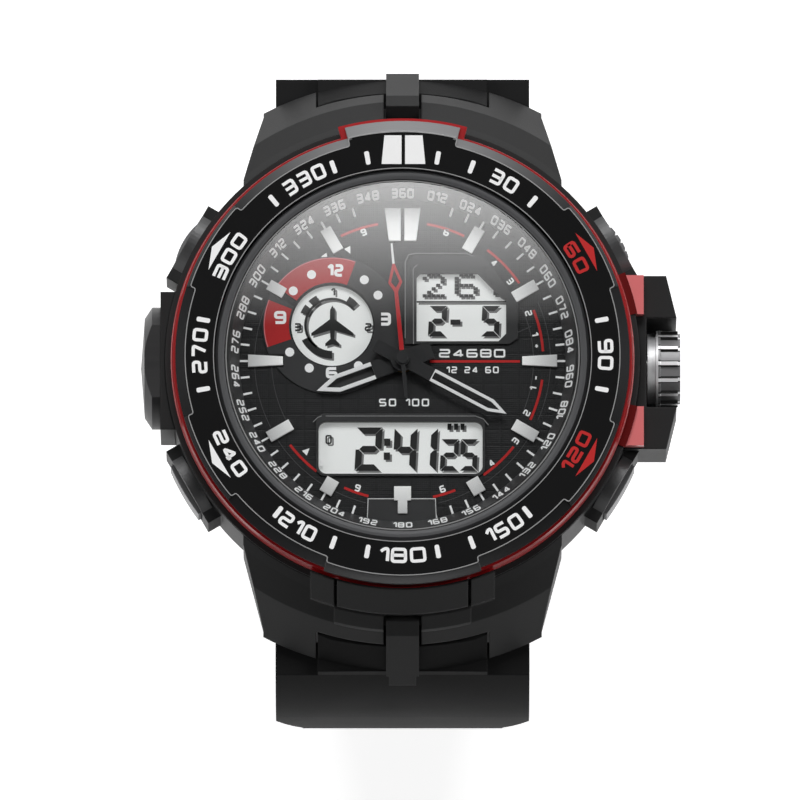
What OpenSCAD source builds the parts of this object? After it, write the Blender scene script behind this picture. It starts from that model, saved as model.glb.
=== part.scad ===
// Sports watch with analogue hands and digital windows.
// Millimetres. +X points to 3 o'clock, +Y to 12 o'clock and +Z out of the dial.
// The origin is the centre of the case back's outer face.

/* [Case] */
// Outer radius of the round case wall
case_r = 25.2; // [24.8:0.1:25.6]
// Wall between the case's outside and the hollow that holds the movement
case_wall = 7.6; // [7.4:0.1:7.8]
// Width of the step that carries the dial, round the hollow
seat_step = 1.3; // [1.1:0.1:1.4]
// Height of the case's lower rim above the back's outer face
case_lift = 0.8; // [0.6:0.1:1]
// Height of the case wall
case_h = 11.6; // [11.4:0.1:12]
// Depth of the dial seat below the case's top
seat_depth = 1.3; // [1.1:0.1:1.5]
// Thickness of the case back
back_t = 1.5; // [1.3:0.1:1.8]
// Inset of the case back's edge from the case's outside
back_inset = 3.2; // [2.8:0.1:3.4]
// Inset of the case back's screws from the back's edge
screw_inset = 1.6; // [1.5:0.1:1.8]
// Radius of a case back screw's thread
screw_r = 0.6; // [0.5:0.05:0.8]
// Depth of a screw in the case above the back
screw_depth = 3; // [2.5:0.1:4]

/* [Bezel] */
// Inset of the coloured trim ring from the case's outside
trim_inset = 0.6; // [0.4:0.05:0.8]
// Height of the trim ring
trim_h = 2; // [1.8:0.1:2.4]
// Inset of the metal bezel rim from the trim ring's edge
rim_inset = 0.5; // [0.4:0.05:0.6]
// Height of the metal bezel rim
rim_h = 1.3; // [1.1:0.1:1.6]
// Thickness of the black bezel plate
plate_t = 0.3; // [0.2:0.05:0.5]
// Inset of the bezel plate from the rim at its full zones
plate_inset = 0.4; // [0.35:0.05:0.5]
// Depth by which the bezel plate is drawn in between them
plate_draw = 0.6; // [0.5:0.05:0.8]
// Reach of the bezel tab at 12 o'clock past the rim
tab_reach = 1.2; // [1:0.1:1.4]
// Reach of the bezel tab at 6 o'clock past the rim
tab6_reach = 0.35; // [0.25:0.05:0.45]
// Overlap of the polished ring around the glass past the dial seat
ring_over = 1; // [0.9:0.05:1.1]
// Wall of the polished ring around the glass
ring_wall = 1; // [0.9:0.05:1.1]

/* [Glass and dial] */
// Thickness of the glass
glass_t = 1.4; // [1.2:0.1:1.6]
// Thickness of the dial plate
dial_t = 0.5; // [0.4:0.05:0.6]
// Width of the sloped chapter ring inside the dial seat
chapter_w = 1.6; // [1.5:0.05:1.8]
// Height of the chapter ring above the dial
chapter_h = 2.4; // [2.2:0.1:2.6]
// Height of the applied dial markers
marker_h = 0.35; // [0.2:0.05:0.4]
// Gap between the dial markers' outer ends and the chapter ring
marker_inset = 0.9; // [0.7:0.1:1.1]
// Sideways place of the small round display
subdial_x = -7.47; // [-7.7:0.01:-7.4]
// Height of the small round display above the dial's centre
subdial_y = 3.83; // [3.7:0.01:4]
// Radius of the small round display
subdial_r = 4.35; // [4.1:0.05:4.5]
// Outer radius of the ring around the small display
subdial_ring_r = 7.4; // [7:0.05:7.45]
// Height of the raised frames around the displays
frame_h = 0.25; // [0.15:0.05:0.35]
// Width of the lower display
lower_w = 17.4; // [17:0.1:17.8]
// Height of the lower display
lower_h = 5.6; // [5.2:0.1:5.8]
// Width of the upper display
upper_w = 9.5; // [9.2:0.1:9.7]
// Height of the upper display
upper_h = 7.3; // [7:0.1:7.4]

/* [Hands] */
// Length of the hour hand
hour_len = 9.7; // [9:0.1:10]
// Length of the minute hand
minute_len = 12.5; // [12:0.1:13]
// Length of the second hand
second_len = 12.4; // [12:0.1:13]
// Thickness of a hand
hand_t = 0.18; // [0.14:0.01:0.22]
// Gear tooth module of the motion work
gear_m = 0.2; // [0.19:0.005:0.205]

/* [Movement] */
// Gap between the movement's plastic frame and the hollow
module_gap = 0.2; // [0.1:0.05:0.3]
// Thickness of the liquid crystal panel
lcd_t = 1; // [0.8:0.1:1.2]
// Thickness of the backlight sheet
backlight_t = 0.3; // [0.2:0.05:0.4]
// Thickness of the circuit board
board_t = 0.6; // [0.5:0.05:0.8]
// Radius of the coin cell
cell_r = 8; // [7.5:0.1:8.2]
// Thickness of the coin cell
cell_t = 1.6; // [1.4:0.1:1.8]

/* [Crown and pushers] */
// Height of the crown and pusher axes above the back's outer face
side_z = 6.1; // [6:0.05:6.4]
// Radius of the crown
crown_r = 4.1; // [3.8:0.05:4.2]
// Distance of the crown's outer face from the case wall
crown_out = 4.3; // [3.9:0.1:4.8]
// Number of ribs on the crown
crown_ribs = 14; // [10:1:18]
// Radius of the crown's stem
stem_r = 0.6; // [0.5:0.05:0.65]
// Travel of the crown when it is pulled
crown_pull = 1.2; // [1:0.1:1.4]
// Width of a pusher's cap
pusher_w = 5.9; // [5.5:0.1:6.2]
// Height of a pusher's cap
pusher_h = 4.4; // [4:0.1:4.8]
// Distance of a pusher's face from the case wall
pusher_out = 1.7; // [1.5:0.05:2]
// Radius of a pusher's rod
rod_r = 0.8; // [0.7:0.05:0.9]
// Travel of a pusher
pusher_travel = 0.9; // [0.7:0.05:1]
// Radius of the round cap at 9 o'clock
cap_r = 6.5; // [6:0.1:6.8]

/* [Lugs] */
// Distance of the first edge across a lug from the case wall
band1_out = 0.9; // [0.8:0.05:1.1]
// Drop of the first edge below the case's top
band1_drop = 1.7; // [1.5:0.1:1.9]
// Distance of the second edge across a lug from the case wall
band2_out = 3.3; // [3.1:0.05:3.5]
// Drop of the second edge below the case's top
band2_drop = 4.2; // [4:0.1:4.4]
// Distance of the lug's tip from the case wall
tip_out = 6.65; // [6.5:0.05:6.8]
// Height of the lug's tip above the back's outer face
tip_z = 2.1; // [2:0.05:2.3]
// Half width of a lug where it leaves the round case
lug_root_w = 16.9; // [16.6:0.1:17.2]
// Half width of a lug at its tip
lug_tip_w = 14.8; // [14.6:0.1:15]
// Half width of the notch between a lug's horns
notch_w = 9.2; // [9:0.1:9.5]
// Distance of a strap's spring bar from the case wall's outside
bar_out = 0.8; // [0.7:0.05:0.9]
// Height of a strap's spring bar above the back's outer face
bar_z = 4.6; // [4.5:0.05:4.7]
// Radius of a spring bar
bar_r = 0.9; // [0.8:0.05:0.95]
// Width of the clip that lies over a strap's end
clip_w = 3.5; // [3.2:0.1:3.8]

/* [Strap] */
// Half width of the strap at its head
strap_head_w = 13.5; // [13.2:0.1:13.7]
// Half width of the strap's narrow part
strap_w = 10.7; // [10.4:0.1:10.9]
// Thickness of the strap
strap_t = 3.2; // [3:0.1:3.4]
// Bend radius of the buckle half
upper_bend_r = 95; // [92:1:98]
// Angle that the buckle half covers
upper_angle = 37; // [36:0.5:38]
// Bend radius of the hole half near the case
lower_bend_r = 33; // [32:0.5:34]
// Bend radius of the hole half's long tail
tail_bend_r = 110; // [105:1:115]
// Angle that the long tail covers
tail_angle = 49; // [46:0.5:51]
// Radius of an adjustment hole
hole_r = 1.3; // [1.1:0.05:1.4]
// Number of adjustment holes
hole_count = 12; // [8:1:13]
// Spacing of the adjustment holes along the strap
hole_pitch = 5.5; // [5:0.1:5.8]

/* [Buckle] */
// Half width of the buckle
buckle_w = 13.6; // [13.3:0.1:14]
// Thickness of the buckle's bars
buckle_t = 2.4; // [2.2:0.1:2.6]
// Distance from the buckle's pin to its front edge
buckle_len = 13.5; // [13:0.1:14.5]
// Radius of the buckle's pin
pin_r = 0.8; // [0.7:0.05:0.85]
// Width of the buckle's tongue
tongue_w = 2; // [1.8:0.1:2.2]

/* [Fits] */
// Radial clearance of a turning or sliding shaft
shaft_gap = 0.05; // [0.03:0.01:0.08]
// Clearance between pieces that move past each other
move_gap = 0.2; // [0.15:0.01:0.3]
// Clearance between fixed pieces that drop into a seat
seat_gap = 0.1; // [0.05:0.01:0.15]

/* [Hidden] */
$fn = 96;
eps = 0.01;
big = 80;

// Radii that follow the case wall
cavity_r = case_r - case_wall;
seat_r = cavity_r + seat_step;
back_r = case_r - back_inset;
screw_ring_r = back_r - screw_inset;
trim_r = case_r - trim_inset;
rim_r = trim_r - rim_inset;
plate_full_r = rim_r - plate_inset;
plate_in_r = plate_full_r - plate_draw;
tab_r = rim_r + tab_reach;
tab_lip = 0.35;
ring_r = seat_r + ring_over;
chapter_r = seat_r - chapter_w;
marker_r = chapter_r - marker_inset;
module_r = cavity_r - module_gap;
crown_face = case_r + crown_out;
pusher_face = case_r + pusher_out;
band1_r = case_r + band1_out;
band2_r = case_r + band2_out;
tip_r = case_r + tip_out;
bar_y = case_r + bar_out;

// Heights of the stack, from the case back up
case_top = case_lift + case_h;
seat_z = case_top - seat_depth;
dial_top = seat_z + dial_t;
trim_top = case_top + trim_h;
rim_top = trim_top + rim_h;
plate_top = rim_top + plate_t;
chapter_top = dial_top + chapter_h;
gasket_t = 0.2;
gasket_wall = 0.5;
glass_z = chapter_top + gasket_t;
glass_top = glass_z + glass_t;
glass_r = ring_r - ring_wall - shaft_gap;
ring_top = plate_top - plate_t;

// Lug outline, as radius and height along its middle section
lug_a = [trim_r, case_top];
lug_b = [band1_r, case_top - band1_drop];
lug_c = [band2_r, case_top - band2_drop];
lug_d = [tip_r, tip_z];
lug_under = 0.6;
lug_plan_y = [bar_y - 12, bar_y - 6.4, bar_y + 1.6, bar_y + 7];
tip_slope = [lug_d[0] - lug_c[0], lug_d[1] - lug_c[1]] / norm(lug_d - lug_c);
tip_normal = [-tip_slope[1], tip_slope[0]];
band2_slope = (lug_c - lug_b) / norm(lug_c - lug_b);
band2_normal = [-band2_slope[1], band2_slope[0]];
corner_normal = (tip_normal + band2_normal) / norm(tip_normal + band2_normal);
notch_edge_share = 0.345;
notch_edge = lug_c + notch_edge_share * (lug_d - lug_c);
roof_t = 0.8;
roof_in = notch_edge - roof_t * tip_normal;
boss_r = bar_r + 1.2;
boss_room_r = boss_r + 0.3;
bar_hole_depth = 2;
clip_slot_w = clip_w / 2 + 0.25;
clip_rise = 0.7;
clip_depth = 0.9;
clip_inner_y = bar_y + 1.2;
clip_slot_y = clip_inner_y - 0.7;

// Guard plate at 6 o'clock
band1_z = lug_b[1];
guard6_in = trim_r + 0.15;
guard6_top = trim_top - 0.1;
guard6_out = clip_inner_y - 0.1;
guard6_w = 6.95;
guard6_groove = 0.3;
guard6_step = 0.4;
guard6_edge = 0.2;
guard6_sink = 1.2;
guard6_under = [1, 0.3];
cheek6_w = 2.5;
cheek6_in = guard6_w + guard6_groove;
cheek6_edge = 0.1;
ledge6_in = guard6_out - guard6_groove;
ledge6_lip = 0.6;
ledge6_over = 0.15;
ledge6_root = [0.4, 0.2];

// Strap centre lines, as Y and Z
head_z = tip_z - 1.2;
upper_y = tip_r + 0.25;
upper_c = [upper_y - upper_bend_r, -1];
lower_y = tip_r + 2.85;
lower_c = [-(lower_y - lower_bend_r), -12];
tail_c = [-(lower_y - tail_bend_r), lower_c[1]];
shoulder_z = -15;
shoulder_h = 9;
pin_a = -(upper_angle + 1.2);
pin_mid_r = upper_bend_r - strap_t / 2;
pin_y = upper_c[0] + pin_mid_r * cos(pin_a);
pin_z = upper_c[1] + pin_mid_r * sin(pin_a);
pin_boss_r = strap_t / 2;
pin_fork = 4;
keeper_a = -24;
keeper_w = 5;
keeper_wall = 1.2;
keeper_room = 2 * strap_t + 0.5;
keeper_in_w = strap_w + 0.3;

// Places around the case
pusher_bearings = [60, 120, 240, 300];
tube_r = 1.3;
contact_r = module_r - 0.5;
contact_t = 0.15;
contact_w = 3;
contact_h = 2.4;
tube_in = cavity_r + 0.5;
spring_seat = case_r - 2.6;
spring_wire = 0.18;
spring_coils = 5;
spring_sides = 6;
spring_steps = 12;
cap_depth = 1.3;
cap_in = pusher_face - cap_depth;
rod_end = tube_in + 0.25;
recess_r = cap_in - pusher_travel - move_gap;
shoulder_r = pusher_face - 0.5;
shoulder_w = 1.3;
housing_w = pusher_w + 2 * move_gap + 2 * shoulder_w;
housing_h = pusher_h + 2 * move_gap + 1.6;
spring_mid_r = rod_r + 0.55;
spring_room_r = spring_mid_r + spring_wire + 0.25;

// Places of the windows and the raised frames around them
upper_x = 1.49;
upper_low = 2.1;
lower_x = -0.21;
lower_mid = -9.33;
window_round = 0.85;
frame_side = 1.24;
frame_foot = 0.3;
frame_head = 1.9;

// Movement levels
lcd_z = seat_z - lcd_t;
light_z = lcd_z - backlight_t;
lcd_r = module_r - 2;
floor_z = 4.9;
board_z = floor_z - board_t;
cell_z = board_z - cell_t - seat_gap;
clip_t = 0.2;
cell_clip_w = 6;
cell_y = -6;
cell_clip_room = 0.6;
cell_clip_wall = 0.4;
cell_clip_out = cell_r + cell_clip_room + cell_clip_wall;
motor_x = -9;
motor_y = 8;
motor_l = 6;
motor_w = 5;
motor_h = 3.4;
coil_r = 1.6;
coil_l = 4.4;
pole_t = 0.8;
buzzer_r = 6;
buzzer_t = 0.4;
buzzer_y = 9.5;
bridge_z = 6.1;
bridge_t = 0.5;
low_wheel_z = bridge_z - 0.8;
low_wheel_t = 0.5;
train_z = bridge_z + bridge_t;
pinion_z = train_z + 0.2;
pinion_t = 0.7;
wheel_t = 0.4;
upper_gear_z = train_z + 1.5;
train_x = gear_m * (10 + 30) / 2;
second_r = 0.15;
minute_pipe_r = 0.45;
hour_pipe_r = 0.8;
post_r = 0.3;
hour_hand_z = dial_top + 0.6;
minute_hand_z = hour_hand_z + hand_t + 0.4;
second_hand_z = minute_hand_z + hand_t + 0.4;

hub_r = 0.75;
hub_h = 0.35;
second_tail = 4.2;
kite_in = 7.2;
kite_mid = 8.2;
kite_out = 10.2;
kite_w = 0.75;
hour_bearing = 250;
minute_bearing = 118;
second_bearing = -5.4;

// Crown and cap places
guard_in = 4.8;
guard_out = 9.3;
guard_face = crown_face - 0.4;
guard_step = 1.1;
guard_low = 1.5;
guard_top = 10.7;
guard_base = case_r + 0.7;
collar_x = guard_base + 0.1;
collar_l = 1.4;
crown_tube_r = 1.5;
crown_bore_r = 1;
crown_tube_in = cavity_r + 1.4;
seal_x = case_r - 3.2;
seal_w = 1;
crown_well_r = crown_tube_r + move_gap;
crown_well = 1;
crown_rib_h = 0.35;
crown_rib_w = 0.56;
collar_lip = 0.5;
yoke_x = module_r - 6.4;
yoke_t = 0.5;
yoke_w = 2;
wall_gap = 0.02;
cap_base_t = 0.5;
cap_base_w = 7.4;
cap_dome_t = 2.1;
cap_low = case_lift + 0.3;
cap_high = case_top - 0.5;

// Turns and moves its children to a clock bearing at the height of the side axes,
// with local +X pointing outwards
module at_bearing(b) {
    translate([0, 0, side_z])
        rotate([0, 0, 90 - b])
            children();
}

// Cylinder along local +X from x0 to x1
module rod_x(r, x0, x1) {
    translate([x0, 0, 0])
        rotate([0, 90, 0])
            cylinder(r = r, h = x1 - x0);
}

// Flat ring
module ring(r_out, r_in, z0, z1) {
    translate([0, 0, z0])
        difference() {
            cylinder(r = r_out, h = z1 - z0);
            translate([0, 0, -eps])
                cylinder(r = r_in, h = z1 - z0 + 2 * eps);
        }
}

// Wedge between two clock bearings, as a flat outline
module wedge(b0, b1) {
    polygon([for (i = [0:4])
        i == 0 ? [0, 0] : big * [sin(b0 + (b1 - b0) * (i - 1) / 3), cos(b0 + (b1 - b0) * (i - 1) / 3)]]);
}

// Flat disc sector between two clock bearings
module sector(r, b0, b1) {
    intersection() {
        circle(r = r);
        wedge(b0, b1);
    }
}

// Rectangle with round corners, centred
module round_rect(w, h, r) {
    square([w - 2 * r, h], center = true);
    square([w, h - 2 * r], center = true);
    for (sx = [-1, 1], sy = [-1, 1])
        translate([sx * (w / 2 - r), sy * (h / 2 - r)])
            circle(r = r);
}

// Spur gear with straight-sided teeth, one tooth centred on its own +X
module gear(teeth, thick, turn) {
    pitch_r = gear_m * teeth / 2;
    root_r = pitch_r - 1.3 * gear_m;
    out_r = pitch_r + 0.75 * gear_m;
    step = 360 / teeth;
    rotate([0, 0, turn])
        linear_extrude(thick)
            polygon([for (i = [0:teeth - 1], k = [0:3])
                (k == 0 || k == 3 ? root_r : out_r)
                * [cos(i * step + [-0.3, -0.11, 0.11, 0.3][k] * step),
                   sin(i * step + [-0.3, -0.11, 0.11, 0.3][k] * step)]]);
}

// Section through a lug, extruded around the watch's axis
module lug_turned() {
    rotate_extrude()
        polygon([
            [cavity_r + 2, lug_a[1]], lug_a, lug_b, lug_c, lug_d,
            [tip_r - lug_under, tip_z - lug_under], [cavity_r + 2, case_lift]
        ]);
}

// Outline of both lugs seen from above
module lug_plan() {
    for (s = [-1, 1])
        scale([1, s])
            polygon([
                [-lug_root_w, lug_plan_y[0]], [lug_root_w, lug_plan_y[0]],
                [lug_root_w, lug_plan_y[1]], [lug_tip_w, lug_plan_y[2]],
                [lug_tip_w, lug_plan_y[3]], [-lug_tip_w, lug_plan_y[3]],
                [-lug_tip_w, lug_plan_y[2]], [-lug_root_w, lug_plan_y[1]]
            ]);
}

// Room under the lug's roof for the strap's end, on the 12 o'clock side
module strap_room() {
    intersection() {
        translate([-notch_w, bar_y - boss_room_r, -big / 2])
            cube([2 * notch_w, big, big]);
        union() {
            rotate_extrude()
                polygon([
                    [bar_y, -1], [bar_y, bar_z + boss_room_r], roof_in, notch_edge,
                    notch_edge + 2 * tip_normal, [tip_r + 3, notch_edge[1]], [tip_r + 3, -1]
                ]);
            translate([0, bar_y, bar_z])
                rod_x(boss_room_r, -notch_w, notch_w);
            translate([-notch_w, bar_y - boss_room_r, case_lift - 1])
                cube([2 * notch_w, 2 * boss_room_r, bar_z - case_lift + 1]);
        }
    }
}

// Slot for the clip, on the 12 o'clock side
module clip_slot() {
    translate([-clip_slot_w, 0, 0])
        rotate([90, 0, 90])
            linear_extrude(2 * clip_slot_w)
                polygon([
                    [clip_slot_y, big], lug_b + (clip_slot_y - band1_r) / band2_slope[0] * band2_slope
                    - clip_depth * band2_normal,
                    lug_c - clip_depth * corner_normal, roof_in - 2 * tip_normal,
                    [big, roof_in[1] - 2], [big, big]
                ]);
}

module pusher_housing(b) {
    at_bearing(b)
        translate([case_r - 4, -housing_w / 2, -housing_h / 2])
            cube([shoulder_r - case_r + 4, housing_w, housing_h]);
}

module pusher_cuts(b) {
    at_bearing(b) {
        translate([recess_r, -pusher_w / 2 - move_gap, -pusher_h / 2 - move_gap])
            cube([10, pusher_w + 2 * move_gap, pusher_h + 2 * move_gap]);
        rod_x(spring_room_r, spring_seat, case_r + 5);
        rod_x(tube_r, cavity_r - 1, spring_seat + eps);
    }
}

// A turned profile kept between two distances from the middle, on the 6 o'clock side
module guard_piece(profile, x0, x1) {
    intersection() {
        rotate_extrude()
            polygon(profile);
        for (s = [-1, 1])
            scale([s, 1, 1])
                translate([x0, -big, 0])
                    cube([x1 - x0, big, big]);
    }
}

// Section through the guard at 6 o'clock, lowered for its cheeks
function guard_profile(lowered, edge) = [
    [guard6_in, case_top - guard6_step],
    [guard6_in, guard6_top - lowered - edge],
    [guard6_in + guard6_edge, guard6_top - lowered],
    [guard6_out, band1_z + guard6_step - lowered],
    [guard6_out, band1_z - guard6_sink],
    [guard6_out, band1_z - guard6_sink] - guard6_under
];

// Raised plate between the bezel and the clip at 6 o'clock, with a cheek and a ledge on each side
module front_guard() {
    guard_piece(guard_profile(0, guard6_edge), 0, guard6_w);
    guard_piece(guard_profile(guard6_step, cheek6_edge), cheek6_in, cheek6_in + cheek6_w);
    guard_piece([
        [ledge6_in, band1_z - guard6_sink],
        [ledge6_in, band1_z - guard6_groove],
        [guard6_out + guard6_edge, band1_z - guard6_step],
        lug_c + [0, ledge6_lip],
        lug_c + [ledge6_over, 0],
        lug_c - ledge6_root
    ], clip_slot_w, cheek6_in);
}

module case_body() {
    color([0.09, 0.09, 0.1]) {
        front_guard();
        difference() {
            union() {
                translate([0, 0, case_lift])
                    cylinder(r = case_r, h = case_h);
                intersection() {
                    lug_turned();
                    translate([0, 0, case_lift - 1])
                        linear_extrude(case_h + 2)
                            lug_plan();
                }
                for (b = pusher_bearings)
                    pusher_housing(b);
            }
            translate([0, 0, -1])
                cylinder(r = cavity_r, h = case_h + 5);
            translate([0, 0, seat_z])
                cylinder(r = seat_r, h = case_h);
            translate([0, 0, -1])
                cylinder(r = back_r + seat_gap, h = back_t + 1);
            ring(cavity_r + 1.3, cavity_r + 0.5, back_t - eps, back_t + 0.6);
            for (a = [45:90:315])
                rotate([0, 0, a])
                    translate([screw_ring_r, 0, back_t - eps])
                        cylinder(r = screw_r + eps, h = screw_depth + 0.3);
            for (b = pusher_bearings)
                pusher_cuts(b);
            at_bearing(90)
                rod_x(crown_tube_r, cavity_r - 1, case_r + 1);
            for (s = [0, 180])
                rotate([0, 0, s]) {
                    strap_room();
                    clip_slot();
                    translate([0, bar_y, bar_z])
                        rod_x(bar_r + eps, -notch_w - bar_hole_depth, notch_w + bar_hole_depth);
                }
            ring(big, case_r - 0.6, case_top - 0.7, case_top - 0.3);
        }
    }
}

module case_back() {
    color([0.62, 0.63, 0.64])
    difference() {
        union() {
            cylinder(r = back_r - 0.5, h = back_t);
            translate([0, 0, 0.4])
                cylinder(r = back_r, h = back_t - 0.4);
        }
        for (a = [45:90:315])
            rotate([0, 0, a])
                translate([screw_ring_r, 0, 0]) {
                    translate([0, 0, -eps])
                        cylinder(r = screw_r + 0.1, h = back_t + 1);
                    translate([0, 0, -eps])
                        cylinder(r = 1.05, h = 0.8);
                }
    }
}

module back_screws() {
    color([0.7, 0.7, 0.72])
    for (a = [45:90:315])
        rotate([0, 0, a])
            translate([screw_ring_r, 0, 0])
                difference() {
                    union() {
                        translate([0, 0, 0.1])
                            cylinder(r = 1, h = 0.7 - eps);
                        translate([0, 0, 0.5])
                            cylinder(r = screw_r, h = back_t + screw_depth - 0.5);
                    }
                    for (t = [0, 90])
                        rotate([0, 0, t])
                            translate([-0.7, -0.12, -1])
                                cube([1.4, 0.24, 1.4]);
                }
}

module back_gasket() {
    color([0.15, 0.15, 0.15])
    ring(cavity_r + 1.25, cavity_r + 0.55, back_t, back_t + 0.55);
}

module bezel_trim() {
    color([0.68, 0.05, 0.05])
    difference() {
        union() {
            rotate_extrude()
                polygon([
                    [ring_r + seat_gap, case_top], [trim_r, case_top], [trim_r, case_top + 0.6],
                    [trim_r - 0.4, case_top + 0.75], [trim_r - 0.4, case_top + 1],
                    [trim_r - 0.1, case_top + 1.15], [trim_r - 0.25, trim_top],
                    [ring_r + seat_gap, trim_top]
                ]);
            translate([0, 0, case_top + 1.15])
                linear_extrude(trim_h - 1.15)
                    difference() {
                        sector(tab_r + tab_lip, -15.5, 15.5);
                        circle(r = ring_r + 1);
                    }
        }
    }
}

module bezel_rim() {
    color([0.32, 0.33, 0.35])
    difference() {
        union() {
            rotate_extrude()
                polygon([
                    [ring_r + seat_gap, trim_top], [rim_r, trim_top], [rim_r, rim_top - 0.5],
                    [plate_full_r + 0.05, rim_top], [ring_r + seat_gap, rim_top]
                ]);
            intersection() {
                rotate_extrude()
                    polygon([
                        [ring_r + 1, trim_top], [tab_r, trim_top], [tab_r, rim_top - 0.8],
                        [rim_r, rim_top], [ring_r + 1, rim_top]
                    ]);
                translate([0, 0, trim_top - 1])
                    linear_extrude(rim_h + 2)
                        wedge(-14, 14);
            }
            intersection() {
                rotate_extrude()
                    polygon([
                        [ring_r + 1, trim_top], [rim_r + tab6_reach, trim_top],
                        [rim_r + tab6_reach, rim_top - 0.4],
                        [plate_full_r + 0.05, rim_top], [ring_r + 1, rim_top]
                    ]);
                translate([0, 0, trim_top - 1])
                    linear_extrude(rim_h + 2)
                        wedge(160, 200);
            }
        }
        intersection() {
            rotate_extrude()
                polygon([
                    [plate_in_r + 0.05, rim_top + eps], [rim_r + 1, rim_top + eps],
                    [rim_r + 1, rim_top - 0.75], [rim_r, rim_top - 0.75]
                ]);
            translate([0, 0, trim_top - 1])
                linear_extrude(rim_h + 2)
                    inset_wedges();
        }
    }
}

// The six stretches where the bezel plate is drawn in
module inset_wedges() {
    for (z = [[14, 48], [72, 108], [132, 160], [200, 230], [254, 288], [312, 346]])
        wedge(z[0], z[1]);
}

module bezel_plate() {
    color([0.06, 0.06, 0.065])
    translate([0, 0, rim_top])
        linear_extrude(plate_t)
            difference() {
                union() {
                    circle(r = plate_in_r);
                    difference() {
                        circle(r = plate_full_r);
                        inset_wedges();
                    }
                    sector(rim_r - 0.1, -13, 13);
                }
                circle(r = ring_r + seat_gap);
            }
}

module glass_ring() {
    color([0.3, 0.31, 0.33])
    rotate_extrude()
        polygon([
            [ring_r - ring_wall, case_top], [ring_r, case_top], [ring_r, ring_top - 0.35],
            [ring_r - 0.35, ring_top], [ring_r - 0.65, ring_top],
            [ring_r - ring_wall, glass_top + 0.05]
        ]);
}

module crystal() {
    color([0.8, 0.85, 0.9, 0.3])
    rotate_extrude()
        polygon([
            [0, glass_z], [glass_r, glass_z], [glass_r, glass_top - 0.25],
            [glass_r - 0.25, glass_top], [0, glass_top]
        ]);
}

module crystal_gasket() {
    color([0.12, 0.12, 0.12])
    ring(glass_r, glass_r - gasket_wall, chapter_top, glass_z);
}

module chapter_ring() {
    color([0.16, 0.16, 0.17])
    rotate_extrude()
        polygon([
            [chapter_r, dial_top], [seat_r - seat_gap, dial_top], [seat_r - seat_gap, chapter_top],
            [glass_r - gasket_wall, chapter_top], [chapter_r, dial_top + 0.4]
        ]);
}

// Window outlines on the dial
module upper_window() {
    translate([upper_x, upper_low])
        polygon([
            [0, 0], [upper_w - 0.8, 0], [upper_w, 0.8], [upper_w, upper_h - 2.9],
            [upper_w - 0.5, upper_h - 2.6], [upper_w - 3, upper_h], [0.4, upper_h], [0, upper_h - 0.4]
        ]);
}

module upper_frame_outline() {
    left = upper_x - frame_side;
    right = upper_x + upper_w + frame_side;
    low = upper_low - frame_foot;
    high = upper_low + upper_h + frame_head;
    polygon([
        [left, low], [right - 0.9, low], [right, low + 0.6], [right, low + 4.4],
        [right - 3.6, high], [left + 0.95, high], [left, high - 1]
    ]);
}

module lower_window() {
    translate([lower_x, lower_mid])
        round_rect(lower_w, lower_h, window_round);
}

module lower_frame_outline() {
    translate([lower_x, lower_mid + frame_foot])
        round_rect(lower_w + 0.5, lower_h + 1.1, window_round + 0.1);
}

module dial() {
    color([0.05, 0.05, 0.05])
    translate([0, 0, seat_z])
        linear_extrude(dial_t)
            difference() {
                circle(r = seat_r - seat_gap);
                circle(r = hour_pipe_r + 0.4);
                translate([subdial_x, subdial_y])
                    circle(r = subdial_r);
                upper_window();
                lower_window();
            }
}

module subdial_ring() {
    color([0.13, 0.13, 0.14])
    translate([subdial_x, subdial_y, dial_top])
        difference() {
            cylinder(r = subdial_ring_r, h = 0.15);
            translate([0, 0, -eps])
                cylinder(r = subdial_r + 0.15, h = 1);
            translate([-subdial_x, -subdial_y, -eps])
                for (b = [270, 300, 330])
                    marker(b, 3.8, 1.4, 1.4);
        }
}

module display_frames() {
    color([0.2, 0.2, 0.21])
    translate([0, 0, dial_top])
        linear_extrude(frame_h) {
            difference() {
                upper_frame_outline();
                upper_window();
            }
            difference() {
                lower_frame_outline();
                lower_window();
            }
        }
}

// One applied marker: bearing, length, and its width at the inner and outer end
module marker(b, len, w_in, w_out) {
    rotate([0, 0, -b])
        linear_extrude(marker_h)
            polygon([
                [-w_in / 2, marker_r - len], [w_in / 2, marker_r - len],
                [w_out / 2, marker_r], [-w_out / 2, marker_r]
            ]);
}

module dial_markers() {
    color([0.78, 0.78, 0.78])
    translate([0, 0, dial_top]) {
        for (b = [30, 60, 240, 330])
            marker(b, 2.75, 1.2, 1.2);
        marker(120, 2.75, 1.25, 1.25);
        for (b = [150, 210])
            marker(b, 1.7, 1.4, 1.4);
        marker(300, 1.9, 1.15, 1.15);
        for (b = [90, 270])
            marker(b, 3.7, 0.9, 1.3);
        for (s = [-1, 1])
            linear_extrude(marker_h)
                polygon([
                    [s * 0.2, marker_r - 3.5], [s * 1.45, marker_r - 3.5],
                    [s * 1.9, marker_r], [s * 0.2, marker_r]
                ]);
        rotate([0, 0, 180])
            linear_extrude(marker_h)
                polygon([
                    [-0.9, marker_r - 2.9], [0.9, marker_r - 2.9], [0.9, marker_r - 1.4],
                    [0.5, marker_r - 1.4], [0.5, marker_r], [-0.5, marker_r],
                    [-0.5, marker_r - 1.4], [-0.9, marker_r - 1.4]
                ]);
    }
}

module lcd_panel() {
    color([0.72, 0.74, 0.72])
    difference() {
        translate([0, 0, lcd_z])
            cylinder(r = lcd_r, h = lcd_t);
        translate([0, 0, lcd_z - eps])
            cylinder(r = 1.8, h = lcd_t + 1);
    }
}

module lcd_backlight() {
    color([0.5, 0.8, 0.75])
    ring(lcd_r, 1.8, light_z, lcd_z);
}

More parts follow.
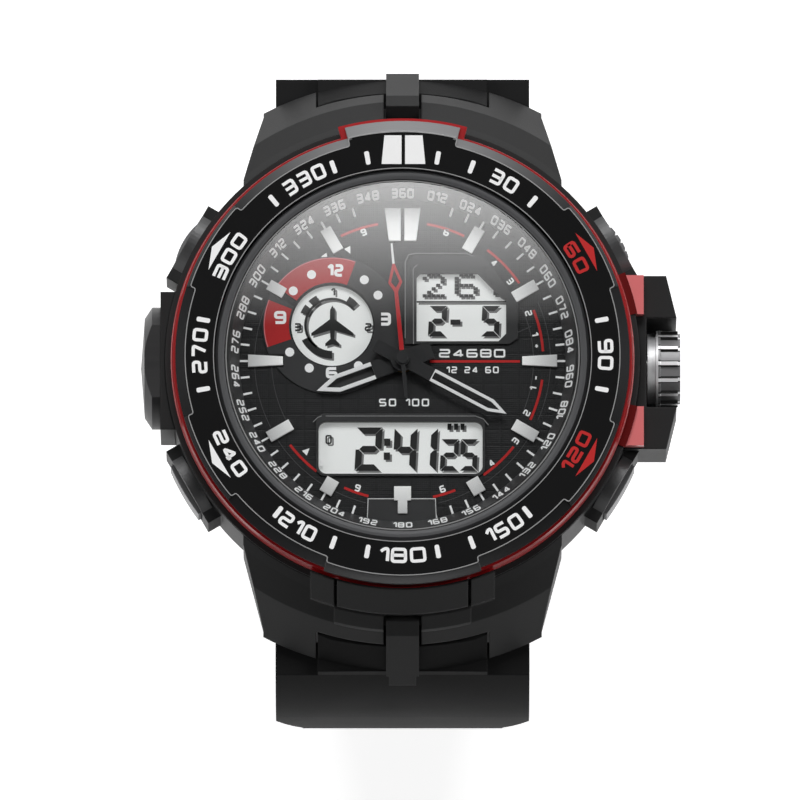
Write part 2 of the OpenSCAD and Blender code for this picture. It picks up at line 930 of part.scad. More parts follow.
module module_frame() {
    color([0.25, 0.25, 0.28])
    difference() {
        translate([0, 0, floor_z])
            cylinder(r = module_r, h = seat_z - floor_z);
        translate([0, 0, light_z])
            cylinder(r = lcd_r + seat_gap, h = lcd_t + 1);
        translate([0, 0, train_z])
            cylinder(r = 16.5 * gear_m + 0.4, h = 10);
        difference() {
            translate([train_x, 0, train_z])
                cylinder(r = 15.5 * gear_m + 0.5, h = 10);
            translate([train_x, 0, 0])
                cylinder(r = post_r, h = light_z - seat_gap);
        }
        translate([0, 0, floor_z - eps])
            cylinder(r = 16 * gear_m + 0.2, h = bridge_z - floor_z);
        cylinder(r = second_r + shaft_gap, h = train_z + 1);
        for (s = [-1, 1])
            translate([motor_x, s * motor_y, floor_z - eps])
                motor_block(seat_gap);
        at_bearing(90) {
            rod_x(stem_r + seat_gap, yoke_x - 3, module_r + 1);
            translate([yoke_x - seat_gap, -yoke_w / 2 - seat_gap, -yoke_w / 2 - seat_gap])
                cube([yoke_t + crown_pull + 2 * seat_gap, yoke_w + 2 * seat_gap, yoke_w + 2 * seat_gap]);
        }
        for (b = pusher_bearings)
            at_bearing(b)
                translate([contact_r, -3, -2])
                    cube([5, 6, 4]);
    }
}

module contact_springs() {
    color([0.8, 0.7, 0.4])
    for (b = pusher_bearings)
        at_bearing(b)
            translate([contact_r, -contact_w / 2, -contact_h / 2])
                cube([contact_t, contact_w, contact_h]);
}

module motor_block(grow) {
    translate([-motor_l / 2 - grow, -motor_w / 2 - grow, 0])
        cube([motor_l + 2 * grow, motor_w + 2 * grow, motor_h + grow]);
}

module motor_coils() {
    color([0.75, 0.4, 0.2])
    for (s = [-1, 1])
        translate([motor_x, s * motor_y, floor_z]) {
            translate([0, 0, motor_h / 2])
                rod_x(coil_r, -coil_l / 2, coil_l / 2);
            for (t = [-1, 1])
                translate([t * (motor_l - pole_t) / 2 - pole_t / 2, -motor_w / 2, 0])
                    cube([pole_t, motor_w, motor_h]);
        }
}

module circuit_board() {
    color([0.1, 0.35, 0.2])
    difference() {
        translate([0, 0, board_z])
            cylinder(r = module_r - 0.4, h = board_t);
        translate([0, 0, board_z - 1])
            cylinder(r = second_r + shaft_gap, h = 5);
    }
}

module coin_cell() {
    color([0.75, 0.75, 0.76])
    translate([0, cell_y, cell_z]) {
        cylinder(r = cell_r, h = cell_t - 0.3);
        cylinder(r = cell_r - 0.7, h = cell_t);
    }
}

module cell_clip() {
    color([0.7, 0.7, 0.7])
    difference() {
        translate([-cell_clip_w / 2, cell_y - cell_clip_out, cell_z - clip_t])
            cube([cell_clip_w, 2 * cell_clip_out, board_z - cell_z + clip_t]);
        translate([-cell_clip_w, cell_y - cell_r - cell_clip_room, cell_z])
            cube([2 * cell_clip_w, 2 * (cell_r + cell_clip_room), big]);
    }
}

module buzzer() {
    color([0.85, 0.7, 0.35])
    translate([0, buzzer_y, back_t])
        cylinder(r = buzzer_r, h = buzzer_t);
}

module spring_bars() {
    color([0.7, 0.7, 0.72])
    for (s = [-1, 1])
        translate([0, s * bar_y, bar_z])
            rod_x(bar_r, -notch_w - bar_hole_depth, notch_w + bar_hole_depth);
}

// Clip over a strap's end, on the 12 o'clock side
module clip_shape(tail_step) {
    lay = 0.12;
    start = lug_b + (clip_inner_y - band1_r) / band2_slope[0] * band2_slope;
    translate([-clip_w / 2, 0, 0])
        rotate([90, 0, 90])
            linear_extrude(clip_w)
                polygon([
                    start + clip_rise * band2_normal,
                    lug_c + clip_rise * corner_normal,
                    lug_d + clip_rise * tip_normal,
                    lug_d + (clip_rise - 0.2) * tip_normal + 0.2 * tip_slope,
                    lug_d + lay * tip_normal + 0.2 * tip_slope,
                    notch_edge + lay * tip_normal,
                    lug_c - clip_depth * corner_normal + [0, 0],
                    start - clip_depth * band2_normal
                ]);
    if (tail_step)
        translate([-clip_w / 2 + 0.3, 0, 0])
            rotate([90, 0, 90])
                linear_extrude(clip_w - 0.6)
                    polygon([
                        lug_d + clip_rise * tip_normal - 0.5 * tip_slope,
                        lug_d + clip_rise * tip_normal + 1.6 * tip_slope,
                        lug_d + lay * tip_normal + 1.6 * tip_slope,
                        lug_d + lay * tip_normal - 0.5 * tip_slope
                    ]);
}

module clip_12() {
    color([0.12, 0.12, 0.12])
    clip_shape(false);
}

module clip_6() {
    color([0.12, 0.12, 0.12])
    rotate([0, 0, 180])
        clip_shape(true);
}

module side_cap_base() {
    color([0.1, 0.1, 0.1])
    difference() {
        at_bearing(270)
            translate([case_r - 3, -cap_base_w, cap_low - side_z])
                cube([3 + cap_base_t, 2 * cap_base_w, cap_high - cap_low]);
        cylinder(r = case_r + wall_gap, h = big, center = true);
    }
}

module side_cap() {
    color([0.14, 0.14, 0.15])
    intersection() {
        translate([0, 0, (cap_low + cap_high) / 2])
            rotate([0, -90, 0])
                rotate_extrude()
                    polygon([
                        [0, case_r + cap_base_t], [cap_r, case_r + cap_base_t],
                        [cap_r, case_r + cap_base_t + 0.9], [cap_r - 1.2, case_r + cap_base_t + 1.7],
                        [0, case_r + cap_base_t + cap_dome_t]
                    ]);
        translate([-big, -big / 2, cap_low + 0.2])
            cube([big, big, cap_high - cap_low - 0.4]);
    }
}

module crown_guard() {
    color([0.08, 0.08, 0.085])
    difference() {
        union() {
            for (s = [-1, 1])
                translate([0, 0, guard_low])
                    linear_extrude(guard_top - guard_low)
                        scale([1, s])
                            polygon([
                                [case_r - 4, guard_in], [guard_face, guard_in],
                                [guard_face - guard_step, guard_out], [case_r - 4, guard_out]
                            ]);
            translate([case_r - 2, -guard_in - 1, guard_low])
                cube([guard_base - case_r + 2, 2 * guard_in + 2, guard_top - guard_low]);
        }
        cylinder(r = case_r + wall_gap, h = big, center = true);
        for (b = [60, 120])
            pusher_housing(b);
        at_bearing(90) {
            rod_x(crown_tube_r, case_r - 5, case_r + 5);
            rod_x(crown_r + move_gap, guard_base, case_r + 10);
        }
    }
}

module guard_trims() {
    color([0.68, 0.05, 0.05])
    difference() {
        for (s = [-1, 1])
            translate([case_r - 3, s * (guard_in + guard_out) / 2 - 2.1, guard_top])
                cube([3.4, 4.2, case_top - guard_top - 0.2]);
        cylinder(r = case_r + wall_gap, h = big, center = true);
    }
}

module crown_tube() {
    color([0.65, 0.65, 0.67])
    at_bearing(90)
        difference() {
            rod_x(crown_tube_r, crown_tube_in, guard_base + 0.7);
            rod_x(crown_bore_r, crown_tube_in - 1, guard_base + 2);
        }
}

module pusher_tubes() {
    color([0.65, 0.65, 0.67])
    for (b = pusher_bearings)
        at_bearing(b)
            difference() {
                rod_x(tube_r, tube_in, spring_seat);
                rod_x(rod_r + shaft_gap, tube_in - 1, spring_seat + 1);
            }
}

module crown() {
    color([0.72, 0.72, 0.74])
    at_bearing(90)
        difference() {
            union() {
                rod_x(crown_r - crown_rib_h, collar_x, crown_face);
                rod_x(crown_r, collar_x + collar_l - collar_lip, collar_x + collar_l);
                for (i = [0:crown_ribs - 1])
                    rotate([i * 360 / crown_ribs, 0, 0])
                        translate([collar_x + collar_l - collar_lip / 2, -crown_rib_w / 2, crown_r - 1])
                            cube([crown_face - collar_x - collar_l, crown_rib_w, 0.95]);
            }
            rod_x(crown_well_r, collar_x - 1, collar_x + crown_well);
        }
}

module crown_stem() {
    color([0.7, 0.7, 0.72])
    at_bearing(90)
        difference() {
            rod_x(stem_r, yoke_x - 2, collar_x + crown_well + eps);
            difference() {
                rod_x(stem_r + 1, yoke_x - shaft_gap, yoke_x + yoke_t + shaft_gap);
                rod_x(stem_r - 0.2, yoke_x - 1, yoke_x + yoke_t + 1);
            }
        }
}

module crown_seal() {
    color([0.1, 0.1, 0.1])
    at_bearing(90)
        difference() {
            rod_x(crown_bore_r - shaft_gap, seal_x, seal_x + seal_w);
            rod_x(stem_r, seal_x - 1, seal_x + seal_w + 1);
        }
}

module stem_yoke() {
    color([0.6, 0.6, 0.62])
    at_bearing(90)
        difference() {
            translate([yoke_x, -yoke_w / 2, -yoke_w / 2])
                cube([yoke_t, yoke_w, yoke_w]);
            rod_x(stem_r - 0.2 + shaft_gap, yoke_x - 1, yoke_x + 2);
            translate([yoke_x - 1, -(stem_r - 0.2 + shaft_gap), -yoke_w])
                cube([2, 2 * (stem_r - 0.2 + shaft_gap), yoke_w]);
        }
}

// One pusher; style 0 is a smooth dome, 1 a ribbed dome and 2 a flat face
module pusher(b, style) {
    at_bearing(b) {
        difference() {
            intersection() {
                translate([cap_in, -pusher_w / 2, -pusher_h / 2])
                    cube([cap_depth, pusher_w, pusher_h]);
                if (style < 2)
                    translate([pusher_face - 7.5, 0, -pusher_h])
                        cylinder(r = 7.5, h = 2 * pusher_h);
                else
                    translate([0, 0, -pusher_h])
                        cylinder(r = pusher_face, h = 2 * pusher_h);
            }
            if (style == 1)
                for (i = [-2:2])
                    translate([pusher_face - 0.5, i * 1 - 0.15, -pusher_h])
                        cube([1, 0.3, 2 * pusher_h]);
        }
        rod_x(rod_r, rod_end, cap_in + 0.3);
    }
}

module pusher_60() {
    color([0.2, 0.2, 0.21])
    pusher(60, 1);
}

module pusher_120() {
    color([0.2, 0.2, 0.21])
    pusher(120, 2);
}

module pusher_240() {
    color([0.2, 0.2, 0.21])
    pusher(240, 2);
}

module pusher_300() {
    color([0.2, 0.2, 0.21])
    pusher(300, 0);
}

// Return spring around a pusher's rod: one unbroken tube with its ends laid flat
module coil_spring(b) {
    x0 = spring_seat + spring_wire + 0.02;
    x1 = cap_in - spring_wire - 0.02;
    steps = spring_coils * spring_steps;
    rings = [for (i = [0:steps])
        let (a = i * 360 / spring_steps, x = x0 + (x1 - x0) * i / steps)
            [for (k = [0:spring_sides - 1])
                let (t = k * 360 / spring_sides, rr = spring_mid_r + spring_wire * cos(t))
                    [x + spring_wire * sin(t), rr * cos(a), rr * sin(a)]]];
    points = [for (r = rings) for (p = r) p];
    sides = [for (i = [0:steps - 1], k = [0:spring_sides - 1])
        let (k2 = (k + 1) % spring_sides, n = spring_sides)
            each [
                [i * n + k, i * n + k2, (i + 1) * n + k2],
                [i * n + k, (i + 1) * n + k2, (i + 1) * n + k]
            ]];
    last = steps * spring_sides;
    ends = [for (k = [1:spring_sides - 2])
        each [[0, k + 1, k], [last, last + k, last + k + 1]]];
    at_bearing(b)
        polyhedron(points = points, faces = concat(sides, ends));
}

module spring_60() {
    color([0.75, 0.75, 0.77])
    coil_spring(60);
}

module spring_120() {
    color([0.75, 0.75, 0.77])
    coil_spring(120);
}

module spring_240() {
    color([0.75, 0.75, 0.77])
    coil_spring(240);
}

module spring_300() {
    color([0.75, 0.75, 0.77])
    coil_spring(300);
}

// Open hand blade along +Y with a slot between two rails
module blade(len, w, rail, root, tip, tail) {
    difference() {
        union() {
            circle(r = hub_r + 0.5);
            polygon([
                [-w / 2, -tail], [w / 2, -tail], [w / 2, len - tip], [0, len], [-w / 2, len - tip]
            ]);
        }
        polygon([
            [-w / 2 + rail, root], [w / 2 - rail, root], [w / 2 - rail, len - tip - rail * 0.4],
            [0, len - rail * 2.6], [-w / 2 + rail, len - tip - rail * 0.4]
        ]);
    }
}

module hour_hand() {
    color([0.95, 0.95, 0.95])
    rotate([0, 0, -hour_bearing])
        translate([0, 0, hour_hand_z])
            linear_extrude(hand_t)
                difference() {
                    blade(hour_len, 1.9, 0.42, 3.3, 2.3, 3.3);
                    circle(r = minute_pipe_r + shaft_gap);
                }
}

module minute_hand() {
    color([0.95, 0.95, 0.95])
    rotate([0, 0, -minute_bearing])
        translate([0, 0, minute_hand_z])
            linear_extrude(hand_t)
                difference() {
                    blade(minute_len, 1.4, 0.32, 3.7, 1.9, 3.3);
                    circle(r = second_r + shaft_gap);
                }
}

module second_hand() {
    color([0.8, 0.05, 0.05])
    rotate([0, 0, -second_bearing])
        translate([0, 0, second_hand_z]) {
            linear_extrude(hand_t)
                difference() {
                    union() {
                        circle(r = hub_r);
                        polygon([
                            [-0.14, -second_tail], [0.14, -second_tail], [0.24, 0], [0.2, kite_in],
                            [kite_w, kite_mid], [0.13, kite_out], [0.1, second_len],
                            [-0.1, second_len], [-0.13, kite_out], [-kite_w, kite_mid],
                            [-0.2, kite_in], [-0.24, 0]
                        ]);
                    }
                    polygon([
                        [0, kite_in + 0.4], [kite_w - 0.3, kite_mid + 0.05],
                        [0, kite_out - 0.6], [0.3 - kite_w, kite_mid + 0.05]
                    ]);
                }
            cylinder(r = hub_r * 0.75, h = hub_h);
        }
}

module cannon_pinion() {
    color([0.75, 0.65, 0.35])
    difference() {
        union() {
            translate([0, 0, pinion_z])
                gear(10, pinion_t, 0);
            translate([0, 0, pinion_z])
                cylinder(r = minute_pipe_r, h = minute_hand_z - pinion_z);
        }
        cylinder(r = second_r + shaft_gap, h = big);
    }
}

module minute_wheel() {
    color([0.75, 0.65, 0.35])
    translate([train_x, 0, 0])
        difference() {
            union() {
                translate([0, 0, pinion_z + 0.1])
                    gear(30, wheel_t, 180 + 6);
                translate([0, 0, pinion_z + 0.1])
                    gear(8, upper_gear_z + wheel_t + 0.2 - pinion_z - 0.1, 180);
            }
            cylinder(r = post_r + shaft_gap, h = big);
        }
}

module hour_wheel() {
    color([0.75, 0.65, 0.35])
    difference() {
        union() {
            translate([0, 0, upper_gear_z])
                gear(32, wheel_t, 360 / 64);
            translate([0, 0, upper_gear_z])
                cylinder(r = hour_pipe_r, h = hour_hand_z - upper_gear_z);
        }
        cylinder(r = minute_pipe_r + shaft_gap, h = big);
    }
}

module second_arbor() {
    color([0.75, 0.65, 0.35]) {
        translate([0, 0, board_z + 0.1])
            cylinder(r = second_r, h = second_hand_z - board_z - 0.1);
        translate([0, 0, low_wheel_z])
            gear(30, low_wheel_t, 0);
    }
}

// Flat ring sector between two angles in the Y-Z plane, extruded across the strap
module strap_arc(c, r, t, a0, a1, w) {
    translate([-w, 0, 0])
        rotate([90, 0, 90])
            linear_extrude(2 * w)
                translate(c)
                    intersection() {
                        difference() {
                            circle(r = r, $fn = 360);
                            circle(r = r - t, $fn = 360);
                        }
                        polygon([for (i = [0:4])
                            i == 0 ? [0, 0]
                            : let (a = a0 + (a1 - a0) * (i - 1) / 3) 2 * r * [cos(a), sin(a)]]);
                    }
}

// Outline of the strap seen from the front, with its shoulders
module strap_width(low) {
    translate([0, big / 2, 0])
        rotate([90, 0, 0])
            linear_extrude(2 * big)
                polygon([
                    [-strap_head_w, head_z], [strap_head_w, head_z], [strap_head_w, shoulder_z],
                    [strap_w, shoulder_z - shoulder_h], [strap_w, low], [-strap_w, low],
                    [-strap_w, shoulder_z - shoulder_h], [-strap_head_w, shoulder_z]
                ]);
}

// End of a strap between the horns, on the 12 o'clock side
module strap_root(reach) {
    w = notch_w - move_gap;
    difference() {
        union() {
            translate([0, bar_y, bar_z])
                rod_x(boss_r, -w, w);
            intersection() {
                translate([-w, 0, 0])
                    rotate([90, 0, 90])
                        linear_extrude(2 * w)
                            polygon([
                                [bar_y, bar_z + boss_r], roof_in - [0, 0.25],
                                notch_edge + 0.4 * tip_slope, lug_d, [reach, head_z],
                                [reach, head_z - 1.5], [reach - strap_t, head_z - 1.5],
                                [bar_y, bar_z - boss_r]
                            ]);
                rotate_extrude()
                    polygon([
                        [5, -5], [5, bar_z + boss_r], [bar_y, bar_z + boss_r], roof_in - [0, 0.25],
                        notch_edge + 0.4 * tip_slope - 0.3 * tip_normal,
                        notch_edge + 0.4 * tip_slope - 0.05 * tip_normal,
                        lug_d - 0.05 * tip_normal, [reach + 5, tip_z - 0.5], [reach + 5, -5]
                    ]);
            }
        }
        translate([0, bar_y, bar_z])
            rod_x(bar_r + shaft_gap, -big, big);
    }
}

module strap_upper() {
    color([0.07, 0.07, 0.07])
    difference() {
        union() {
            strap_root(upper_y);
            intersection() {
                strap_arc(upper_c, upper_bend_r, strap_t, -upper_angle, 5, strap_head_w);
                translate([0, big / 2, 0])
                    strap_width(-big);
            }
            translate([0, pin_y, pin_z])
                rod_x(pin_boss_r, -strap_w, strap_w);
            strap_arc(upper_c, upper_bend_r, strap_t, pin_a, -upper_angle + 1, strap_w);
        }
        translate([0, pin_y, pin_z])
            rod_x(pin_r + eps, -big, big);
        at_buckle()
            translate([-tongue_w / 2 - 0.4, -pin_fork, -5])
                cube([tongue_w + 0.8, pin_fork + 5, 10]);
    }
}

// Places its children at the buckle's pin: local +Y runs on along the strap and +Z points outwards
module at_buckle() {
    translate([0, pin_y, pin_z])
        rotate([pin_a - 90, 0, 0])
            children();
}

module buckle_pin() {
    color([0.7, 0.7, 0.72])
    at_buckle()
        rod_x(pin_r, -buckle_w + 0.6, buckle_w - 0.6);
}

module buckle_frame() {
    color([0.1, 0.1, 0.1])
    at_buckle()
        difference() {
            union() {
                translate([0, 0, -buckle_t / 2])
                    linear_extrude(buckle_t)
                        difference() {
                            translate([0, (buckle_len - 2) / 2])
                                round_rect(2 * buckle_w, buckle_len + 2, 1.6);
                            translate([-strap_w - 0.4, -5])
                                square([2 * strap_w + 0.8, buckle_len + 5 - 3]);
                        }
            }
            rod_x(pin_r + shaft_gap, -buckle_w + 0.5, buckle_w - 0.5);
            translate([-tongue_w / 2 - 0.2, buckle_len - 3.5, buckle_t / 2 - 0.7])
                cube([tongue_w + 0.4, 5, 2]);
        }
}

module buckle_tongue() {
    color([0.62, 0.63, 0.65])
    at_buckle()
        difference() {
            union() {
                rod_x(pin_boss_r - 0.1, -tongue_w / 2, tongue_w / 2);
                translate([-tongue_w / 2, 0, 0.65])
                    cube([tongue_w, buckle_len - 0.2, 0.85]);
            }
            rod_x(pin_r + shaft_gap, -5, 5);
        }
}

module strap_keeper() {
    color([0.07, 0.07, 0.07])
    translate([0, upper_c[0], upper_c[1]])
        rotate([keeper_a, 0, 0])
            translate([0, upper_bend_r + 0.25, 0])
                difference() {
                    translate([-keeper_in_w - keeper_wall, -keeper_room - keeper_wall, -keeper_w / 2])
                        cube([2 * (keeper_in_w + keeper_wall), keeper_room + 2 * keeper_wall, keeper_w]);
                    translate([-keeper_in_w, -keeper_room, -keeper_w])
                        cube([2 * keeper_in_w, keeper_room, 2 * keeper_w]);
                }
}

module strap_lower() {
    color([0.07, 0.07, 0.07])
    difference() {
        union() {
            rotate([0, 0, 180])
                strap_root(-lower_top_y);
            intersection() {
                union() {
                    strap_arc(lower_c, lower_bend_r, strap_t, 150, 180, strap_head_w);
                    strap_arc(tail_c, tail_bend_r, strap_t, 180, 180 + tail_angle, strap_head_w);
                }
                strap_width(-2 * big);
            }
        }
        for (i = [0:hole_count - 1])
            translate([0, tail_c[0], tail_c[1]])
                rotate([180 + tail_angle - 5 - i * hole_pitch * 180 / (3.14159 * tail_bend_r), 0, 0])
                    translate([0, tail_bend_r + 3, 0])
                        rotate([90, 0, 0])
                            cylinder(r = hole_r, h = strap_t + 6);
    }
}

// Outer surface of the hole half where its head starts
lower_top_y = lower_c[0] - sqrt(pow(lower_bend_r, 2) - pow(head_z - lower_c[1], 2));

case_body();
case_back();
back_screws();
back_gasket();
bezel_trim();
bezel_rim();
bezel_plate();
glass_ring();
crystal();
crystal_gasket();
chapter_ring();
dial();
dial_markers();
display_frames();
subdial_ring();
lcd_panel();
lcd_backlight();
module_frame();
circuit_board();
coin_cell();
cell_clip();
motor_coils();
buzzer();
spring_bars();
clip_12();
clip_6();
side_cap_base();
side_cap();
crown_guard();
guard_trims();
crown_tube();
pusher_tubes();
contact_springs();
strap_upper();
buckle_pin();
buckle_frame();
buckle_tongue();
strap_keeper();
strap_lower();
stem_yoke();
crown();
crown_stem();
crown_seal();
pusher_60();
pusher_120();
pusher_240();
pusher_300();
spring_60();
spring_120();
spring_240();
spring_300();
minute_hand();
cannon_pinion();
hour_hand();
hour_wheel();
second_hand();
second_arbor();
minute_wheel();
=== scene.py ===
import math

import bmesh
import bpy
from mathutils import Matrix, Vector


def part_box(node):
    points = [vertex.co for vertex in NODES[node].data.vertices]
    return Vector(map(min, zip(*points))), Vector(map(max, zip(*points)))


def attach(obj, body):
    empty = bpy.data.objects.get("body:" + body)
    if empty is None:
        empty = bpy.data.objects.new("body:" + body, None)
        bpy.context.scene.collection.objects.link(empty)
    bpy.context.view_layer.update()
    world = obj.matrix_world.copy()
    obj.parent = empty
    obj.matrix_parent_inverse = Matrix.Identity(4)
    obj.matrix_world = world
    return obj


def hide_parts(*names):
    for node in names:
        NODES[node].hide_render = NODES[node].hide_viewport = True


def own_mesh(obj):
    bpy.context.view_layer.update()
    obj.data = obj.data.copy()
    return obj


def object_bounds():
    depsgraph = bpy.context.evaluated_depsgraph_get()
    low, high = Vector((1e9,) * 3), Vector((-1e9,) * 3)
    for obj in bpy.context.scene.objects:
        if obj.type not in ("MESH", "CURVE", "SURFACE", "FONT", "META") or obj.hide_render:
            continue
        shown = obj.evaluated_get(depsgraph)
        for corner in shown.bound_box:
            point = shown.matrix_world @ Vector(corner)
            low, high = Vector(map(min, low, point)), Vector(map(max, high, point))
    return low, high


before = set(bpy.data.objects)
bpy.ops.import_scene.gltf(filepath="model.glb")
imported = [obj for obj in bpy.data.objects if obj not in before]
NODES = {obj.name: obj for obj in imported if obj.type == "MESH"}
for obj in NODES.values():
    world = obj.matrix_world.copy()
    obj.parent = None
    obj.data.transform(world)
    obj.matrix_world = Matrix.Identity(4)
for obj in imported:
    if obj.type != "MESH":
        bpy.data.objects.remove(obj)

CAD_LOW, CAD_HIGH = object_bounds()
MM = 0.001

# Heights and places read from the frame, in metres
DIAL_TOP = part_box("dial")[1].z
LCD_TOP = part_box("lcd_panel")[1].z
PLATE_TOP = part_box("bezel_plate")[1].z
RING_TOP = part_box("subdial_ring")[1].z
SIDE_Z = (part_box("crown")[0].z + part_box("crown")[1].z) / 2
SUBDIAL = (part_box("subdial_ring")[0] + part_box("subdial_ring")[1]) / 2

# Thickness of one printed layer
INK = 0.02 * MM

# Sizes of the solids that finishes and small pieces follow
MARKER_OUT_R = 16.4 * MM
MARKER_IN_R = 12.7 * MM
CROWN_GRIP_X = 27.15 * MM
CROWN_RIBS = 14
HAND_BEARINGS = {"hour": 250, "minute": 118, "second": -5.4}

# The photograph's scale and tilt, used to set marks where they were measured
PIXEL = 0.106 * MM
FRAME_PIXELS = 800
ELEVATION = 81
CENTRE_COLUMN = 403
CENTRE_ROW = 354.5


def polar(bearing, radius):
    """Point on the dial plane at a clock bearing in degrees, 0 at 12 o'clock and growing clockwise."""
    turn = math.radians(bearing)
    return Vector((radius * math.sin(turn), radius * math.cos(turn), 0))


def seen_at(column, row, height):
    """Point of the model at a height that is seen at a column and row of the photograph."""
    tilt = math.radians(ELEVATION)
    y = ((CENTRE_ROW - row) * PIXEL - math.cos(tilt) * (height - PLATE_TOP)) / math.sin(tilt)
    return (column - CENTRE_COLUMN) * PIXEL, y


# Shader expressions

class Socket:
    """An output socket of a shader node that can stand in a Python expression."""

    def __init__(self, graph, link):
        self.graph = graph
        self.link = link

    def math(self, operation, *others):
        return self.graph.node("ShaderNodeMath", {"operation": operation}, [self, *others])

    def reflected(self, operation, other):
        """The same with the other value first, as in 1 - mask."""
        return self.graph.node("ShaderNodeMath", {"operation": operation}, [other, self])

    def __add__(self, other):
        return self.math("ADD", other)

    def __sub__(self, other):
        return self.math("SUBTRACT", other)

    def __rsub__(self, other):
        return self.reflected("SUBTRACT", other)

    def __mul__(self, other):
        return self.math("MULTIPLY", other)

    def __truediv__(self, other):
        return self.math("DIVIDE", other)

    def __rtruediv__(self, other):
        return self.reflected("DIVIDE", other)

    def __gt__(self, other):
        return self.math("GREATER_THAN", other)

    def __lt__(self, other):
        return self.math("LESS_THAN", other)

    __radd__ = __add__
    __rmul__ = __mul__


class Graph:
    """A node tree that expressions on sockets add nodes to."""

    def __init__(self, tree):
        self.tree = tree

    def node(self, kind, settings=None, inputs=None, out=0):
        """Adds a node and gives back its output `out`, or a list where `out` is a tuple of outputs."""
        made = self.tree.nodes.new(kind)
        for key, value in (settings or {}).items():
            if key == "stops":
                ramp = made.color_ramp
                while len(ramp.elements) < len(value):
                    ramp.elements.new(1)
                for element, (position, grey) in zip(ramp.elements, value):
                    element.position = position
                    element.color = (grey, grey, grey, 1)
            else:
                setattr(made, key, value)
        pairs = inputs.items() if isinstance(inputs, dict) else enumerate(inputs or [])
        for key, value in pairs:
            self.feed(made.inputs[key], value)
        if isinstance(out, tuple):
            return [Socket(self, made.outputs[key]) for key in out]
        return Socket(self, made.outputs[out])

    def feed(self, socket, value):
        if isinstance(value, Socket):
            self.tree.links.new(value.link, socket)
        elif isinstance(value, tuple) and len(value) == 3 and socket.type == "RGBA":
            socket.default_value = (*value, 1)
        else:
            socket.default_value = value

    def combine(self, x, y, z):
        return self.node("ShaderNodeCombineXYZ", None, [x, y, z])

    def split(self, place):
        return self.node("ShaderNodeSeparateXYZ", None, [place], out=(0, 1, 2))

    def shown(self):
        """1 for rays from the camera, in mirrors and through glass, 0 for those that only gather light."""
        rays = ("Is Camera Ray", "Is Glossy Ray", "Is Transmission Ray")
        camera, glossy, through = self.node("ShaderNodeLightPath", out=rays)
        return camera.math("MAXIMUM", glossy).math("MAXIMUM", through)


class Finish(Graph):
    """One material, with its node tree built by expressions on sockets."""

    def __init__(self, name, **fixed):
        self.material = bpy.data.materials.new(name)
        self.material.use_nodes = True
        super().__init__(self.material.node_tree)
        self.shader = self.tree.nodes["Principled BSDF"]
        self.set(**fixed)
        self.place = self.node("ShaderNodeTexCoord", out="Object")

    def set(self, **values):
        for key, value in values.items():
            self.feed(self.shader.inputs[key.replace("_", " ")], value)

    def noise(self, size, detail=3, place=None):
        """Noise from 0 to 1 whose features are about `size` metres across."""
        inputs = {"Vector": place or self.place, "Scale": 1 / size, "Detail": detail, "Roughness": 0.6}
        return self.node("ShaderNodeTexNoise", None, inputs)

    def mix(self, share, low, high):
        return self.node("ShaderNodeMix", {"data_type": "RGBA"}, {0: share, 6: low, 7: high}, out=2)

    def ramp(self, value, stops):
        return self.node("ShaderNodeValToRGB", {"stops": stops}, [value])

    def round_edges(self, radius):
        return self.node("ShaderNodeBevel", {"samples": 4}, {"Radius": radius})

    def bump(self, height, depth, normal=None):
        inputs = {"Height": height, "Distance": depth, "Strength": 1.0}
        if normal:
            inputs["Normal"] = normal
        return self.node("ShaderNodeBump", None, inputs)

    def turned(self, away, angle, along=0.0):
        """Noise of fine rings, as a lathe leaves them round an axis."""
        return self.noise(0.05 * MM, 3, self.combine(away, angle * 1.5 * MM, along))

    def around(self, centre=(0, 0, 0), axis="Z"):
        """Distance from an axis through `centre` and the angle round it from 0 to 1."""
        moved = self.node("ShaderNodeVectorMath", {"operation": "SUBTRACT"}, [self.place, centre])
        x, y, z = self.split(moved)
        a, b = (x, y) if axis == "Z" else (y, z)
        angle = a.math("ARCTAN2", b) / (2 * math.pi) + 0.5
        return (a * a + b * b).math("SQRT"), angle


def moulded(name, colour, rough, grain, depth, edge=0.12 * MM, **more):
    """Moulded plastic or rubber: fine grain, a slow change of gloss, faint dust and soft edges."""
    f = Finish(name, **more)
    fine = f.noise(grain, 4)
    slow = f.noise(9 * MM, 2)
    dust = f.ramp(f.noise(0.5 * MM, 2), [(0.66, 0), (0.78, 1)])
    pale = tuple(min(1, c * 1.7 + 0.004) for c in colour)
    f.set(Base_Color=f.mix(slow * 0.3 + dust * 0.2, colour, pale))
    f.set(Roughness=fine * 0.12 + slow * 0.1 + (rough - 0.11))
    f.set(Normal=f.bump(fine, depth, f.round_edges(edge)))
    return f.material


def brushed(name, colour, rough, axis=("Z", (0, 0, 0)), metal=1.0, edge=0.1 * MM, depth=0.002 * MM):
    """Metal turned round an axis: fine rings in its gloss and height."""
    f = Finish(name, Metallic=metal)
    direction, centre = axis
    rings = f.turned(*f.around(centre, direction))
    slow = f.noise(6 * MM, 2)
    dark = tuple(c * 0.78 for c in colour)
    f.set(Base_Color=f.mix(rings * 0.7 + slow * 0.3, dark, colour))
    f.set(Roughness=rings * 0.16 + slow * 0.08 + (rough - 0.12))
    f.set(Normal=f.bump(rings, depth, f.round_edges(edge)))
    return f.material


